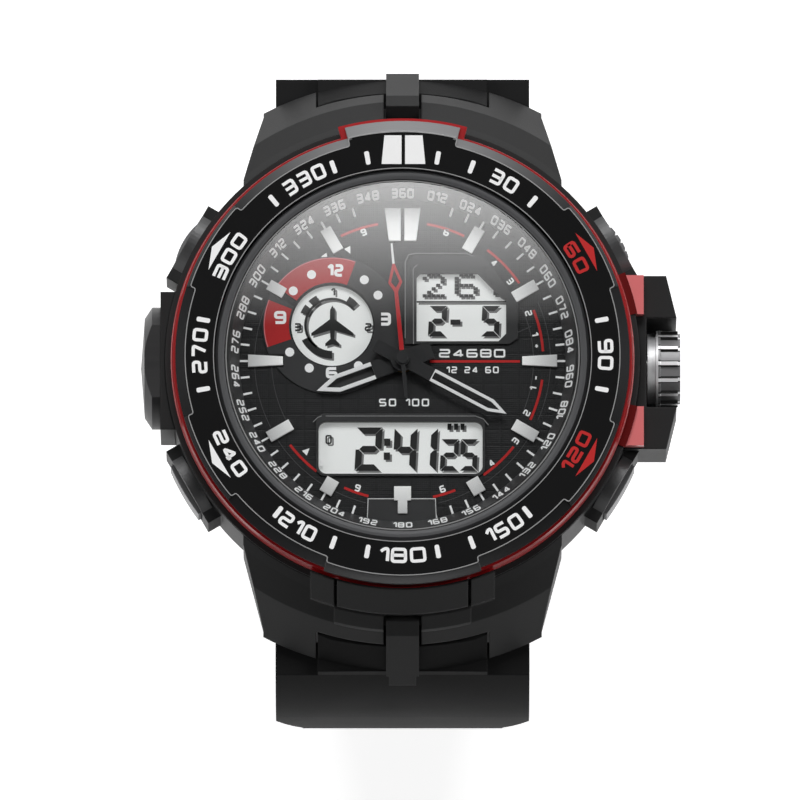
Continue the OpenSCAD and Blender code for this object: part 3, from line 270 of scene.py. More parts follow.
def marker_finish():
    """Satin silver of the hour markers, with painted shading, paler towards the middle of the dial and darker
    towards the chapter ring, and a painted glow from its emission.
    """
    # Painted glow: the emission makes the markers brighter than the lamps light them
    f = Finish("satin_silver", Metallic=0.2, Emission_Strength=0.15)
    away = f.around()[0]
    # Painted shade: the colour darkens towards the chapter ring
    painted_shading = ((away - MARKER_OUT_R) / (MARKER_IN_R - MARKER_OUT_R)).math("MAXIMUM", 0.0).math("MINIMUM", 1.0)
    grain = f.noise(0.08 * MM, 3)
    painted_light_tone = f.mix(painted_shading * 0.9 + grain * 0.1, (0.5, 0.5, 0.5), (0.98, 0.98, 0.97))
    f.set(Base_Color=painted_light_tone, Emission_Color=painted_light_tone, Roughness=grain * 0.12 + 0.36)
    f.set(Normal=f.bump(grain, 0.001 * MM, f.round_edges(0.1 * MM)))
    return f.material


def painted(name, colour, rough, **more):
    """Thick printed or sprayed paint with a faint orange peel."""
    f = Finish(name, **more)
    peel = f.noise(0.12 * MM, 2)
    slow = f.noise(3 * MM, 2)
    dark = tuple(c * 0.86 for c in colour)
    f.set(Base_Color=f.mix(slow * 0.5 + peel * 0.2, colour, dark), Roughness=peel * 0.12 + (rough - 0.06))
    f.set(Normal=f.bump(peel, 0.0015 * MM))
    return f.material


def glass():
    """Clear mineral glass: light goes straight through, and the outer faces mirror more at a slant."""
    f = Finish("mineral_glass")
    smear = f.noise(7 * MM, 3)
    clear = f.node("ShaderNodeBsdfTransparent", None, {"Color": (0.985, 0.99, 0.99)})
    shine = f.node("ShaderNodeBsdfGlossy", None, {"Color": FULL, "Roughness": smear * 0.015 + 0.01})
    facing = f.node("ShaderNodeFresnel", None, {"IOR": 1.22})
    inside = f.node("ShaderNodeNewGeometry", out="Backfacing")
    share = (facing * 1.6 + 0.06) * (1 - inside)
    mixed = f.node("ShaderNodeMixShader", None, {0: share, 1: clear, 2: shine})
    f.feed(f.tree.nodes["Material Output"].inputs["Surface"], mixed)
    return f.material


def dial_finish():
    """Black dial with an embossed grid of cells over a fine woven grain."""
    f = Finish("dial_black", Specular_IOR_Level=0.25)
    x, y = f.split(f.place)[:2]
    cell, thread = 1.9 * MM, 0.42 * MM
    squeeze = 2 / math.sqrt(3)
    turn = 2 * math.pi / thread
    grain = f.noise(0.16 * MM, 3)
    weave = ((x + y) * turn).math("SINE") * ((x - y) * turn).math("SINE")
    edges = f.node("ShaderNodeTexVoronoi", {"feature": "DISTANCE_TO_EDGE", "voronoi_dimensions": "2D"},
                   {"Vector": f.combine(x, y * squeeze, 0.0), "Scale": 1 / cell, "Randomness": 0.0})
    lines = f.ramp(edges, [(0.03, 0), (0.09, 1)])
    relief = weave * 0.35 + lines * 0.6 + grain * 0.3
    f.set(Base_Color=f.mix(grain * 0.6 + lines * 0.2, (0.005, 0.005, 0.0055), (0.018, 0.018, 0.019)))
    f.set(Roughness=grain * 0.2 + 0.38, Normal=f.bump(relief, 0.02 * MM))
    return f.material


def lcd_finish():
    """Pale reflective panel with faint unevenness and a painted glow: its emission makes it brighter than the
    lamps light it.
    """
    f = Finish("lcd_pale", Specular_IOR_Level=0.3)
    cloud = f.noise(5 * MM, 2)
    fine = f.noise(0.07 * MM, 1)
    f.set(Base_Color=f.mix(cloud * 0.8 + fine * 0.2, (0.74, 0.75, 0.74), (0.82, 0.83, 0.82)))
    # Painted glow: the panel emits light though its backlight is not lit
    f.set(Roughness=fine * 0.1 + 0.45, Emission_Color=(0.8, 0.81, 0.8), Emission_Strength=0.28)
    return f.material


def rim_finish():
    """Black steel turned round the watch's axis, with a painted sheen: its colour is lighter towards 12 and 6
    o'clock.
    """
    f = Finish("rim_black", Metallic=0.5, Specular_IOR_Level=0.15)
    away, angle = f.around()
    rings = f.turned(away, angle)
    # Painted highlight: the colour grows lighter towards 12 o'clock and, less, towards 6 o'clock
    upward = f.split(f.place)[1] / away
    top = upward.math("MAXIMUM", 0.0).math("POWER", 6.0)
    low = (upward * -1.0).math("MAXIMUM", 0.0).math("POWER", 12.0)
    painted_sheen = (top * 0.85 + low * 0.45) * (rings * 0.3 + 0.85)
    f.set(Base_Color=f.mix(painted_sheen, (0.006, 0.006, 0.0065), (0.31, 0.31, 0.315)))
    f.set(Roughness=rings * 0.12 + 0.3, Normal=f.bump(rings, 0.002 * MM, f.round_edges(0.12 * MM)))
    return f.material


def crown_finish():
    """Satin steel crown with painted light on its grip: pale painted highlights on the ribs, painted shade in
    the dark grooves beside them, grey faces, and a plain collar.
    """
    f = Finish("crown_steel", Metallic=0.5)
    x = f.split(f.place)[0]
    away, angle = f.around((0, 0, SIDE_Z), "X")
    from_rib = ((angle * CROWN_RIBS + 0.5).math("FRACT") - 0.5).math("ABSOLUTE")
    # Painted shade in the grooves beside each rib, painted highlights on the rib tops
    painted_groove_shade = f.ramp(from_rib, [(0.1, 0), (0.12, 1), (0.19, 1), (0.22, 0)])
    faces_with_painted_rib_highlights = f.mix(from_rib < 0.11, (0.26, 0.26, 0.265), (0.92, 0.92, 0.93))
    grip_with_painted_light_and_shade = f.mix(painted_groove_shade, faces_with_painted_rib_highlights, (0.02, 0.02, 0.02))
    rings = f.turned(away, angle, x * 0.4)
    f.set(Base_Color=f.mix(x > CROWN_GRIP_X, (0.68, 0.68, 0.69), grip_with_painted_light_and_shade), Roughness=rings * 0.12 + 0.4)
    f.set(Normal=f.bump(rings, 0.001 * MM, f.round_edges(0.1 * MM)))
    return f.material


def hand_finish(name, root, blade, tip=None, tip_from=0.0):
    """A hand painted along its length: a dark root and tail, a coloured blade and, if given, a pale tip."""
    f = Finish(f"{name}_hand")
    x, y = f.split(f.place)[:2]
    ahead = polar(HAND_BEARINGS[name], 1)
    along = x * ahead.x + y * ahead.y
    peel = f.noise(0.1 * MM, 2)
    colour = f.mix(along > root, (0.012, 0.012, 0.013), blade)
    if tip:
        colour = f.mix(along > tip_from, colour, tip)
    f.set(Base_Color=colour, Roughness=peel * 0.15 + 0.3)
    f.set(Normal=f.bump(peel, 0.002 * MM, f.round_edges(0.05 * MM)))
    return f.material


RED = (0.42, 0.007, 0.01)
WHITE = (0.92, 0.92, 0.92)
FULL = (1.0, 1.0, 1.0)

MATERIALS = {
    "resin": moulded("case_resin", (0.0195, 0.0195, 0.0198), 0.48, 0.12 * MM, 0.005 * MM, edge=0.22 * MM,
                     Specular_IOR_Level=0.13),
    "strap": moulded("strap_resin", (0.012, 0.012, 0.0122), 0.6, 0.16 * MM, 0.01 * MM, edge=0.2 * MM,
                     Specular_IOR_Level=0.05),
    "rubber": moulded("seal_rubber", (0.02, 0.02, 0.02), 0.6, 0.1 * MM, 0.006 * MM),
    "plate": moulded("bezel_paint", (0.0035, 0.0035, 0.0037), 0.5, 0.06 * MM, 0.002 * MM, edge=0.05 * MM,
                     Specular_IOR_Level=0.08),
    "chapter": moulded("chapter_satin", (0.035, 0.035, 0.036), 0.42, 0.1 * MM, 0.002 * MM, edge=0.05 * MM),
    "ring": brushed("glass_ring_satin", (0.085, 0.086, 0.09), 0.45, metal=0.4, depth=0.001 * MM),
    "frame": moulded("frame_satin", (0.022, 0.022, 0.023), 0.4, 0.1 * MM, 0.002 * MM, edge=0.1 * MM),
    "module": moulded("movement_plastic", (0.05, 0.05, 0.06), 0.5, 0.2 * MM, 0.01 * MM),
    "board": moulded("board_green", (0.01, 0.09, 0.045), 0.35, 0.3 * MM, 0.004 * MM),
    "backlight": moulded("backlight_sheet", (0.3, 0.5, 0.45), 0.5, 0.3 * MM, 0.002 * MM),
    "gunmetal": rim_finish(),
    # Painted highlights along edges: grey for the glass and window frames, pale for the bezel plate
    "edge_grey": painted("edge_grey", (0.28, 0.28, 0.28), 0.4),
    "edge_light": painted("edge_light", (0.36, 0.36, 0.36), 0.4),
    "bridge": brushed("bridge_metal", (0.1, 0.1, 0.102), 0.36, metal=0.5),
    "cap": brushed("cap_black", (0.04, 0.04, 0.041), 0.42, axis=("X", (0, 0, SIDE_Z)), metal=0.6),
    "pusher": brushed("pusher_metal", (0.2, 0.2, 0.205), 0.42, metal=0.5),
    "steel": brushed("brushed_steel", (0.62, 0.63, 0.64), 0.3),
    "crown": crown_finish(),
    "brass": brushed("brass", (0.7, 0.5, 0.2), 0.28),
    "copper": brushed("copper_wire", (0.7, 0.3, 0.14), 0.35),
    "silver": marker_finish(),
    "buckle": brushed("buckle_black", (0.04, 0.04, 0.043), 0.32, metal=0.8, edge=0.2 * MM),
    "guard_red": painted("guard_red", (0.9, 0.215, 0.22), 0.35, Coat_Weight=0.3, Coat_Roughness=0.15),
    "dark_red": painted("dark_red", (0.13, 0.003, 0.003), 0.45, Specular_IOR_Level=0.12),
    "red_metal": painted("trim_red", RED, 0.34, Coat_Weight=0.4, Coat_Roughness=0.15),
    # White print with a painted glow: its emission makes it brighter than the lamps light it
    "white_print": painted("white_print", WHITE, 0.45, Emission_Color=WHITE, Emission_Strength=0.12),
    "red_print": painted("red_print", (0.55, 0.003, 0.003), 0.45),
    "red_zone": painted("red_zone", (0.48, 0.008, 0.01), 0.4),
    "black_print": painted("black_print", (0.006, 0.006, 0.006), 0.4),
    "shade_print": painted("shade_print", (0.2, 0.2, 0.2), 0.45),
    "pink_print": painted("pink_print", (0.75, 0.2, 0.22), 0.4),
    "grey_print": painted("grey_print", (0.05, 0.05, 0.052), 0.45),
    "glass": glass(),
    "dial": dial_finish(),
    "lcd": lcd_finish(),
    "hour": hand_finish("hour", 3.3 * MM, WHITE),
    "minute": hand_finish("minute", 3.6 * MM, WHITE),
    "second": hand_finish("second", 0.9 * MM, (0.5, 0.008, 0.012), WHITE, 10.2 * MM),
}

FINISH_OF = {
    "resin": "case_body clip_12 clip_6 side_cap_base crown_guard",
    "steel": "case_back back_screws coin_cell cell_clip spring_bars crown_tube pusher_tubes buckle_pin "
             "buckle_tongue stem_yoke crown_stem spring_60 spring_120 spring_240 spring_300",
    "rubber": "back_gasket crystal_gasket crown_seal",
    "red_metal": "bezel_trim", "guard_red": "guard_trims",
    "gunmetal": "bezel_rim", "ring": "glass_ring",
    "plate": "bezel_plate", "glass": "crystal", "chapter": "chapter_ring", "dial": "dial",
    "silver": "dial_markers", "frame": "display_frames subdial_ring", "lcd": "lcd_panel",
    "backlight": "lcd_backlight", "module": "module_frame", "board": "circuit_board",
    "copper": "motor_coils", "cap": "side_cap", "strap": "strap_upper strap_keeper strap_lower",
    "brass": "buzzer contact_springs cannon_pinion hour_wheel second_arbor minute_wheel",
    "buckle": "buckle_frame", "crown": "crown",
    "pusher": "pusher_60 pusher_120 pusher_240 pusher_300",
    "hour": "hour_hand", "minute": "minute_hand", "second": "second_hand",
}
for finish, names in FINISH_OF.items():
    for name in names.split():
        NODES[name].data.materials.clear()
        NODES[name].data.materials.append(MATERIALS[finish])


# Meshes built up from closed slabs

# Widening of a ribbon's corner stops at this cosine
MITRE_LIMIT = 0.4
# Gap between digits and radius of a bend, as shares of the stroke's width
GAP_SHARE, BEND_SHARE = 0.9, 0.75
# Largest share of a side that one rounded corner takes
SIDE_SHARE = 1 / 2.1


class Shape:
    """Vertices and faces of a mesh that is built up from closed slabs lying on a place."""

    def __init__(self):
        self.verts = []
        self.faces = []

    def slab(self, outline, place, low=0.0, high=INK):
        """A flat outline as a closed slab between two heights."""
        area = sum(a[0] * b[1] - b[0] * a[1] for a, b in zip(outline, outline[1:] + outline[:1]))
        outline = outline if area > 0 else outline[::-1]
        n, base = len(outline), len(self.verts)
        self.verts += [place(u, v, h) for h in (high, low) for u, v in outline]
        self.faces.append([base + i for i in range(n)])
        self.faces.append([base + 2 * n - 1 - i for i in range(n)])
        for i in range(n):
            after = (i + 1) % n
            self.faces.append([base + i, base + n + i, base + n + after, base + after])

    def ribbon(self, points, width, place, low=0.0, high=INK):
        """A line of even width along flat points, closed where the last point is the first."""
        closed = (Vector(points[0]) - Vector(points[-1])).length < 1e-9
        path = [Vector(p) for p in (points[:-1] if closed else points)]
        n, base = len(path), len(self.verts)
        for i, point in enumerate(path):
            into = (point - path[i - 1]).normalized() if i or closed else None
            away = (path[(i + 1) % n] - point).normalized() if i < n - 1 or closed else None
            into, away = into or away, away or into
            side = Vector((-into.y - away.y, into.x + away.x))
            side = side.normalized() * (width / 2)
            side /= max(MITRE_LIMIT, side.normalized().dot(Vector((-into.y, into.x))))
            for h in (high, low):
                for s in (-1, 1):
                    p = point + s * side
                    self.verts.append(place(p.x, p.y, h))
        for i in range(n if closed else n - 1):
            a, b = base + 4 * i, base + 4 * ((i + 1) % n)
            self.faces += [[a, b, b + 1, a + 1], [a + 3, b + 3, b + 2, a + 2],
                           [a, a + 2, b + 2, b], [b + 1, b + 3, a + 3, a + 1]]
        if not closed:
            a, b = base, base + 4 * (n - 1)
            self.faces += [[a + 1, a + 3, a + 2, a], [b, b + 2, b + 3, b + 1]]

    def disc(self, radius, place, high=INK, sides=28):
        turns = [2 * math.pi * i / sides for i in range(sides)]
        self.slab([(radius * math.cos(turn), radius * math.sin(turn)) for turn in turns], place, 0.0, high)

    def bar(self, wide, tall, place, soft=0.0):
        """Rectangle centred on the place, with its corners rounded by `soft`."""
        x, y = wide / 2, tall / 2
        self.slab(rounded([(-x, -y), (x, -y), (x, y), (-x, y), (-x, -y)], soft)[:-1], place)

    def text(self, words, height, width, stroke, place, gap=None, high=INK):
        """A row of digits drawn with strokes, centred on the place."""
        gap = stroke * GAP_SHARE if gap is None else gap
        steps = [width * GLYPHS[c][0] + gap for c in words]
        u = -(sum(steps) - gap) / 2
        tall, wide = height - stroke, width - stroke
        for c, step in zip(words, steps):
            share, *lines = GLYPHS[c]
            for line in lines:
                points = [(u + stroke / 2 + int(p[0]) / 4 * wide * share, int(p[1]) / 4 * tall - tall / 2)
                          for p in line.split()]
                self.ribbon(rounded(points, stroke * BEND_SHARE), stroke, place, 0.0, high)
            u += step


# Width share and stroke lines of each sign, as points on a grid of five by five
GLYPHS = {
    "0": (1, "00 40 44 04 00"),
    "1": (0.55, "03 24 44 40"),
    "2": (1, "04 44 42 02 00 40"),
    "3": (1, "04 44 40 00", "02 42"),
    "4": (1, "30 34 01 41"),
    "5": (1, "44 04 02 42 40 00"),
    "6": (1, "44 04 00 40 42 02"),
    "7": (1, "04 44 20"),
    "8": (1, "00 40 44 04 00", "02 42"),
    "9": (1, "42 02 04 44 40 00"),
    "+": (0.8, "02 42", "21 23"),
    "-": (0.8, "02 42"),
    " ": (0.6,),
}


def rounded(points, radius, steps=3):
    """The same line with its corners rounded. A closed line repeats its first point at the end."""
    if radius <= 0:
        return points
    closed = points[0] == points[-1]
    path = [Vector(p) for p in (points[:-1] if closed else points)]
    out = []
    n = len(path)
    for i, p in enumerate(path):
        if not closed and i in (0, n - 1):
            out.append(tuple(p))
            continue
        a, b = path[i - 1] - p, path[(i + 1) % n] - p
        cut = min(radius, a.length * SIDE_SHARE, b.length * SIDE_SHARE)
        start, end = p + a.normalized() * cut, p + b.normalized() * cut
        for k in range(steps + 1):
            t = k / steps
            out.append(tuple(start.lerp(p, t).lerp(p.lerp(end, t), t)))
    return out + out[:1] if closed else out


def flat(x, y, z, turn=0.0):
    """Lays outlines flat at a point, turned clockwise by degrees."""
    c, s = math.cos(math.radians(turn)), math.sin(math.radians(turn))
    return lambda u, v, h: Vector((x + u * c + v * s, y - u * s + v * c, z + h))


def flat_seen(column, row, z, turn=0.0):
    return flat(*seen_at(column, row, z), z, turn)


def bent(bearing, radius, height_at, inward=False):
    """Bends outlines round a circle, with their tops outward or inward, on a height given per radius."""
    sign = -1 if inward else 1

    def place(u, v, h):
        away = radius + sign * v
        p = polar(bearing + sign * math.degrees(u / radius), away)
        return Vector((p.x, p.y, height_at(away) + h))
    return place


def level(z):
    return lambda away: z


def at_height(z):
    return flat(0, 0, z)


def arc(radius, start, end, step=2.0):
    """Points along a circle between two bearings, for a flat place at its centre."""
    n = max(2, int(abs(end - start) / step) + 1)
    return [tuple(polar(start + (end - start) * i / (n - 1), radius).xy) for i in range(n)]


def sector(low_radius, high_radius, start, end):
    """Outline of a piece of a ring between two bearings, for a flat place at its centre."""
    return arc(high_radius, start, end) + arc(low_radius, end, start)


def seen_outline(points, z):
    """Points of the photograph as a line at a height of the model."""
    return [seen_at(column, row, z) for column, row in points]


def new_object(name, data):
    made = bpy.data.objects.new(name, data)
    bpy.context.scene.collection.objects.link(made)
    return made


def add_mesh(name, mesh):
    """A piece that moves with the case."""
    piece = new_object(name, mesh)
    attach(piece, "case")
    return piece


def add(name, shape, finish):
    mesh = bpy.data.meshes.new(name)
    mesh.from_pydata([tuple(v) for v in shape.verts], [], shape.faces)
    mesh.materials.append(MATERIALS[finish])
    add_mesh(name, mesh)


# Bezel: numbers, ticks, arrows and the two bars at 12 o'clock

BEZEL_TICKS = (-39.6, -20, -10, 10, 20, 40, 80, 100, 142, 160, 170, 190, 200, 218, 260, 280)
BEZEL_TICK_R = 21.45 * MM
BEZEL_TICK_WIDE, BEZEL_TICK_TALL, BEZEL_TICK_SOFT = 0.5 * MM, 1.45 * MM, 0.2 * MM
BEZEL_STROKE = 0.34 * MM
# Words, bearing, feet outwards, width of a digit in mm
BEZEL_NUMBERS = (("330", -29, False, 1.42), ("30", 30, False, 1.42), ("90", 90, False, 1.5),
                 ("270", 271, False, 1.42), ("150", 150, True, 1.42), ("180", 180, True, 1.72),
                 ("210", 211, True, 1.42))
BEZEL_NUMBER_R = 21.55 * MM
BEZEL_NUMBER_TALL = 1.65 * MM
# The four numbers at the push buttons, each with an arrow
BEZEL_LABELS = (("60", 60.5, False), ("120", 119.5, True), ("240", 240, True), ("300", 299.8, False))
BEZEL_LABEL_R = 21.2 * MM
BEZEL_LABEL_TALL, BEZEL_LABEL_WIDE = 1.45 * MM, 1.62 * MM
ARROW_FOOT_R, ARROW_TIP_R, ARROW_SPREAD = 22.5 * MM, 23.3 * MM, 6
TOP_BARS = (((384.8, 135), (402, 135), (402, 163.7), (382, 163.7)),
            ((405.5, 135), (423, 135), (425.8, 163.7), (405.5, 163.7)))


def bezel_prints():
    white, red = Shape(), Shape()
    flat_top = level(PLATE_TOP)
    for bearing in BEZEL_TICKS:
        place = bent(bearing, BEZEL_TICK_R, flat_top)
        white.bar(BEZEL_TICK_WIDE, BEZEL_TICK_TALL, place, BEZEL_TICK_SOFT)
    for words, bearing, inward, wide in BEZEL_NUMBERS:
        place = bent(bearing, BEZEL_NUMBER_R, flat_top, inward)
        white.text(words, BEZEL_NUMBER_TALL, wide * MM, BEZEL_STROKE, place)
    for words, bearing, inward in BEZEL_LABELS:
        shape = red if bearing < 180 else white
        place = bent(bearing, BEZEL_LABEL_R, flat_top, inward)
        shape.text(words, BEZEL_LABEL_TALL, BEZEL_LABEL_WIDE, BEZEL_STROKE, place)
        arrow = (polar(bearing - ARROW_SPREAD, ARROW_FOOT_R), polar(bearing, ARROW_TIP_R),
                 polar(bearing + ARROW_SPREAD, ARROW_FOOT_R))
        shape.slab([tuple(corner.xy) for corner in arrow], at_height(PLATE_TOP))
    for points in TOP_BARS:
        white.slab(seen_outline(points, PLATE_TOP), at_height(PLATE_TOP))
    add("bezel_print_white", white, "white_print")
    add("bezel_print_red", red, "red_print")


# Painted highlights: pale lines along the edges of the bezel plate, the glass and the window frames

# Radius in mm of the plate's stepped outer edge, between two bearings
PLATE_EDGES = ((23.66, 48, 72), (23.06, 72, 108), (23.66, 108, 132), (23.06, 132, 160), (23.66, 160, 200),
               (23.06, 200, 230), (23.66, 230, 254), (23.06, 254, 288), (23.66, 288, 312), (23.06, 312, 346),
               (23.96, 346, 374), (23.06, 374, 408))
PLATE_EDGE_SOFT, PLATE_EDGE_WIDE = 0.28 * MM, 0.1 * MM
PLATE_INNER_R, PLATE_INNER_WIDE = 20.05 * MM, 0.09 * MM
GLASS_EDGE_R, GLASS_EDGE_WIDE = 18.72 * MM, 0.12 * MM
FRAME_EDGE_WIDE = 0.08 * MM
FRAME_EDGES = (((405.6, 338), (405.6, 262), (409, 254.5), (416, 253), (467, 253), (474, 256)),
               ((414, 344), (413.6, 268), (418, 264.5)),
               ((322, 416), (318, 417.5), (313.5, 422)),
               ((326, 416), (476, 416), (484, 419), (489, 425)))


def edge_highlights():
    """Painted highlights: thin pale lines where the edges catch the light."""
    plate, glass_edge_highlight, frame_edge_highlight = Shape(), Shape(), Shape()
    outline = [point for radius, start, end in PLATE_EDGES for point in arc(radius * MM, start, end)]
    plate.ribbon(rounded(outline + outline[:1], PLATE_EDGE_SOFT), PLATE_EDGE_WIDE, at_height(PLATE_TOP))
    plate.ribbon(arc(PLATE_INNER_R, 0, 360), PLATE_INNER_WIDE, at_height(PLATE_TOP))
    glass_edge_highlight.ribbon(arc(GLASS_EDGE_R, 0, 360), GLASS_EDGE_WIDE, at_height(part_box("crystal")[1].z))
    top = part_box("display_frames")[1].z
    for points in FRAME_EDGES:
        frame_edge_highlight.ribbon(seen_outline(points, top), FRAME_EDGE_WIDE, at_height(top))
    add("plate_edge_highlights", plate, "edge_light")
    add("glass_edge_highlight", glass_edge_highlight, "edge_grey")
    add("frame_edge_highlights", frame_edge_highlight, "edge_grey")


# Case: inner part of the red trims, bridges and springs of the push buttons, floor under the crown

CASE_TOP = 12.4 * MM
TRIM_SPANS = ((68.3, 78.7), (101.3, 111.7))
TRIM_LOW_R, TRIM_HIGH_R, TRIM_THICK = 24.45 * MM, 25.4 * MM, 0.2 * MM
PUSHER_BEARINGS = (60, 120, 240, 300)
PUSH_TRAVEL = 0.9 * MM
BRIDGE_FOOT_Z, BRIDGE_SINK, BRIDGE_RISE = 9.25 * MM, 0.05 * MM, 1.0 * MM
BRIDGE_LOW_R, BRIDGE_HIGH_R, BRIDGE_HALF = 25.15 * MM, 26.4 * MM, 3.3 * MM
BRIDGE_STEPS = 16
FLOOR_LOW_X, FLOOR_HIGH_X, FLOOR_HALF, FLOOR_THICK = 25.15 * MM, 28.7 * MM, 4.85 * MM, 0.9 * MM
FLOOR_FOOT_Z = 0.9 * MM


def upright(bearing, z):
    """Stands outlines up across a bearing, so that they are drawn out along it."""
    ahead, left = polar(bearing, 1), polar(bearing - 90, 1)
    return lambda u, v, h: ahead * h + left * u + Vector((0, 0, z + v))


def trim_insides():
    """The deep red part of each trim, between the bezel and the paler part over the crown guard."""
    shape = Shape()
    for start, end in TRIM_SPANS:
        shape.slab(sector(TRIM_LOW_R, TRIM_HIGH_R, start, end), at_height(CASE_TOP), 0.0, TRIM_THICK)
    add("guard_trim_insides", shape, "dark_red")


def pusher_bridges():
    """Arched bridges of the case over the push buttons."""
    shape = Shape()
    shares = [2 * i / BRIDGE_STEPS - 1 for i in range(BRIDGE_STEPS + 1)]
    arch = [(BRIDGE_HALF * t, BRIDGE_RISE * (1 - t * t)) for t in shares]
    outline = [(-BRIDGE_HALF, -BRIDGE_SINK)] + arch + [(BRIDGE_HALF, -BRIDGE_SINK)]
    for bearing in PUSHER_BEARINGS:
        shape.slab(outline, upright(bearing, BRIDGE_FOOT_Z), BRIDGE_LOW_R, BRIDGE_HIGH_R)
    add("pusher_bridges", shape, "bridge")


def merged_copy(node, name):
    """The mesh of a CAD node at its place, with its loose triangles joined."""
    joined = bmesh.new()
    joined.from_mesh(node.data)
    joined.transform(node.matrix_world)
    bmesh.ops.remove_doubles(joined, verts=joined.verts, dist=0.001 * MM)
    mesh = bpy.data.meshes.new(name)
    joined.to_mesh(mesh)
    joined.free()
    mesh.materials.append(node.data.materials[0])
    return mesh


def return_springs():
    """Return spring of each push button: a copy of its CAD node with the loose triangles joined, set in its
    place, while the node is hidden.
    """
    for bearing in PUSHER_BEARINGS:
        node, ahead = NODES[f"spring_{bearing}"], polar(bearing, 1)
        mesh = merged_copy(node, f"return_spring_{bearing}")
        reach = [vertex.co.dot(ahead) for vertex in mesh.vertices]
        low, high = min(reach), max(reach)
        piece = add_mesh(f"return_spring_{bearing}", mesh)
        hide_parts(node.name)
        keep = 1 - PUSH_TRAVEL / (high - low)
        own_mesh(piece)
        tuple(ahead)


def crown_floor():
    """Plain web of the case under the crown, between the shoulders of its guard."""
    shape = Shape()
    outline = [(FLOOR_LOW_X, -FLOOR_HALF), (FLOOR_HIGH_X, -FLOOR_HALF), (FLOOR_HIGH_X, FLOOR_HALF),
               (FLOOR_LOW_X, FLOOR_HALF)]
    shape.slab(outline, at_height(FLOOR_FOOT_Z), 0.0, FLOOR_THICK)
    add("crown_floor", shape, "resin")


# Chapter ring: a plain three-digit number every 12 degrees

CHAPTER_FOOT_R, CHAPTER_FOOT_Z = 17.3 * MM, 12.0 * MM
CHAPTER_HEAD_R, CHAPTER_HEAD_Z = 18.35 * MM, 14.0 * MM
CHAPTER_TEXT_R, CHAPTER_STEP = 17.82 * MM, 12
CHAPTER_TALL, CHAPTER_WIDE, CHAPTER_STROKE, CHAPTER_THICK = 0.8 * MM, 0.7 * MM, 0.17 * MM, 0.07 * MM


def chapter_height(radius):
    """Height of the ring's slope."""
    share = (radius - CHAPTER_FOOT_R) / (CHAPTER_HEAD_R - CHAPTER_FOOT_R)
    return CHAPTER_FOOT_Z + share * (CHAPTER_HEAD_Z - CHAPTER_FOOT_Z)


def chapter_prints():
    shape = Shape()
    for bearing in range(CHAPTER_STEP, 361, CHAPTER_STEP):
        place = bent(bearing, CHAPTER_TEXT_R, chapter_height, 90 < bearing < 270)
        shape.text(f"{bearing:03d}", CHAPTER_TALL, CHAPTER_WIDE, CHAPTER_STROKE, place, high=CHAPTER_THICK)
    add("chapter_numbers", shape, "white_print")


# Dial

RED_ARCS = ((10, 26), (37, 56), (68.5, 86), (97.7, 115), (128, 145), (158, 167.5), (194, 204.5), (217.5, 233),
            (334, 350))
RED_ARC_R, RED_ARC_WIDE = 14.95 * MM, 0.27 * MM
RED_BAR_LONG, RED_BAR_WIDE, RED_BAR_SPOT = 9.56 * MM, 0.26 * MM, (475.5, 361.3)
# Sign, column, row, bearing
DIAL_NUMBERS = (("4", 494.7, 262.6, 40), ("3", 510.8, 280.9, 52), ("2", 529.2, 313, 70),
                ("1", 535.5, 333.7, 80), ("+", 537.2, 345.8, 84), ("-", 536.6, 378, 97),
                ("1", 533.8, 388.8, 103), ("2", 527.4, 413, 114), ("4", 492, 463, 140), ("9", 358, 488, 199),
                ("6", 443, 489, 163), ("9", 364, 232, -17), ("6", 447, 232, 19), ("3", 516, 441, 126))
DIAL_DIGIT_TALL, DIAL_DIGIT_WIDE, DIAL_DIGIT_STROKE = 0.76 * MM, 0.6 * MM, 0.16 * MM
# Words, column, row, then height, width of a digit, stroke and gap in mm
DIAL_WORDS = (("24680", 472.6, 353.2, 0.92, 1.2, 0.19, 0.26), ("12 24 60", 473, 369.8, 0.72, 0.62, 0.14, 0.2),
              ("50 100", 404.5, 402.5, 0.82, 0.78, 0.16, 0.26))
TRIANGLES = ((349, 250, -27), (307, 451, 226), (326, 257, -37), (322, 462, 219))
TRIANGLE = ((0.0, -0.42 * MM), (0.36 * MM, 0.34 * MM), (-0.36 * MM, 0.34 * MM))
# Radius in mm, start and end bearing of the dial's fine lines
LINE_ARCS = ((15.7, 66, 114), (13.9, 66, 114), (15.7, 243, 298), (13.9, 243, 298), (15.72, 122, 166),
             (15.72, 194, 238))
LINE_WIDE = 0.07 * MM
CROSS_LINE, CROSS_LINE_WIDE = ((517.1, 332.6), (532, 326.3)), 0.08 * MM
TICK_COUNT, TICKS_SKIPPED, TICK_R = 60, 2, 16.8 * MM
TICK_LONG, TICK_WIDE = 0.95 * MM, 0.22 * MM
FOOT_BLOCK = ((368.5, 499), (435.9, 499), (437, 525), (367.5, 525))
FOOT_BLOCK_THICK, FOOT_EDGE_WIDE = 0.12 * MM, 0.09 * MM


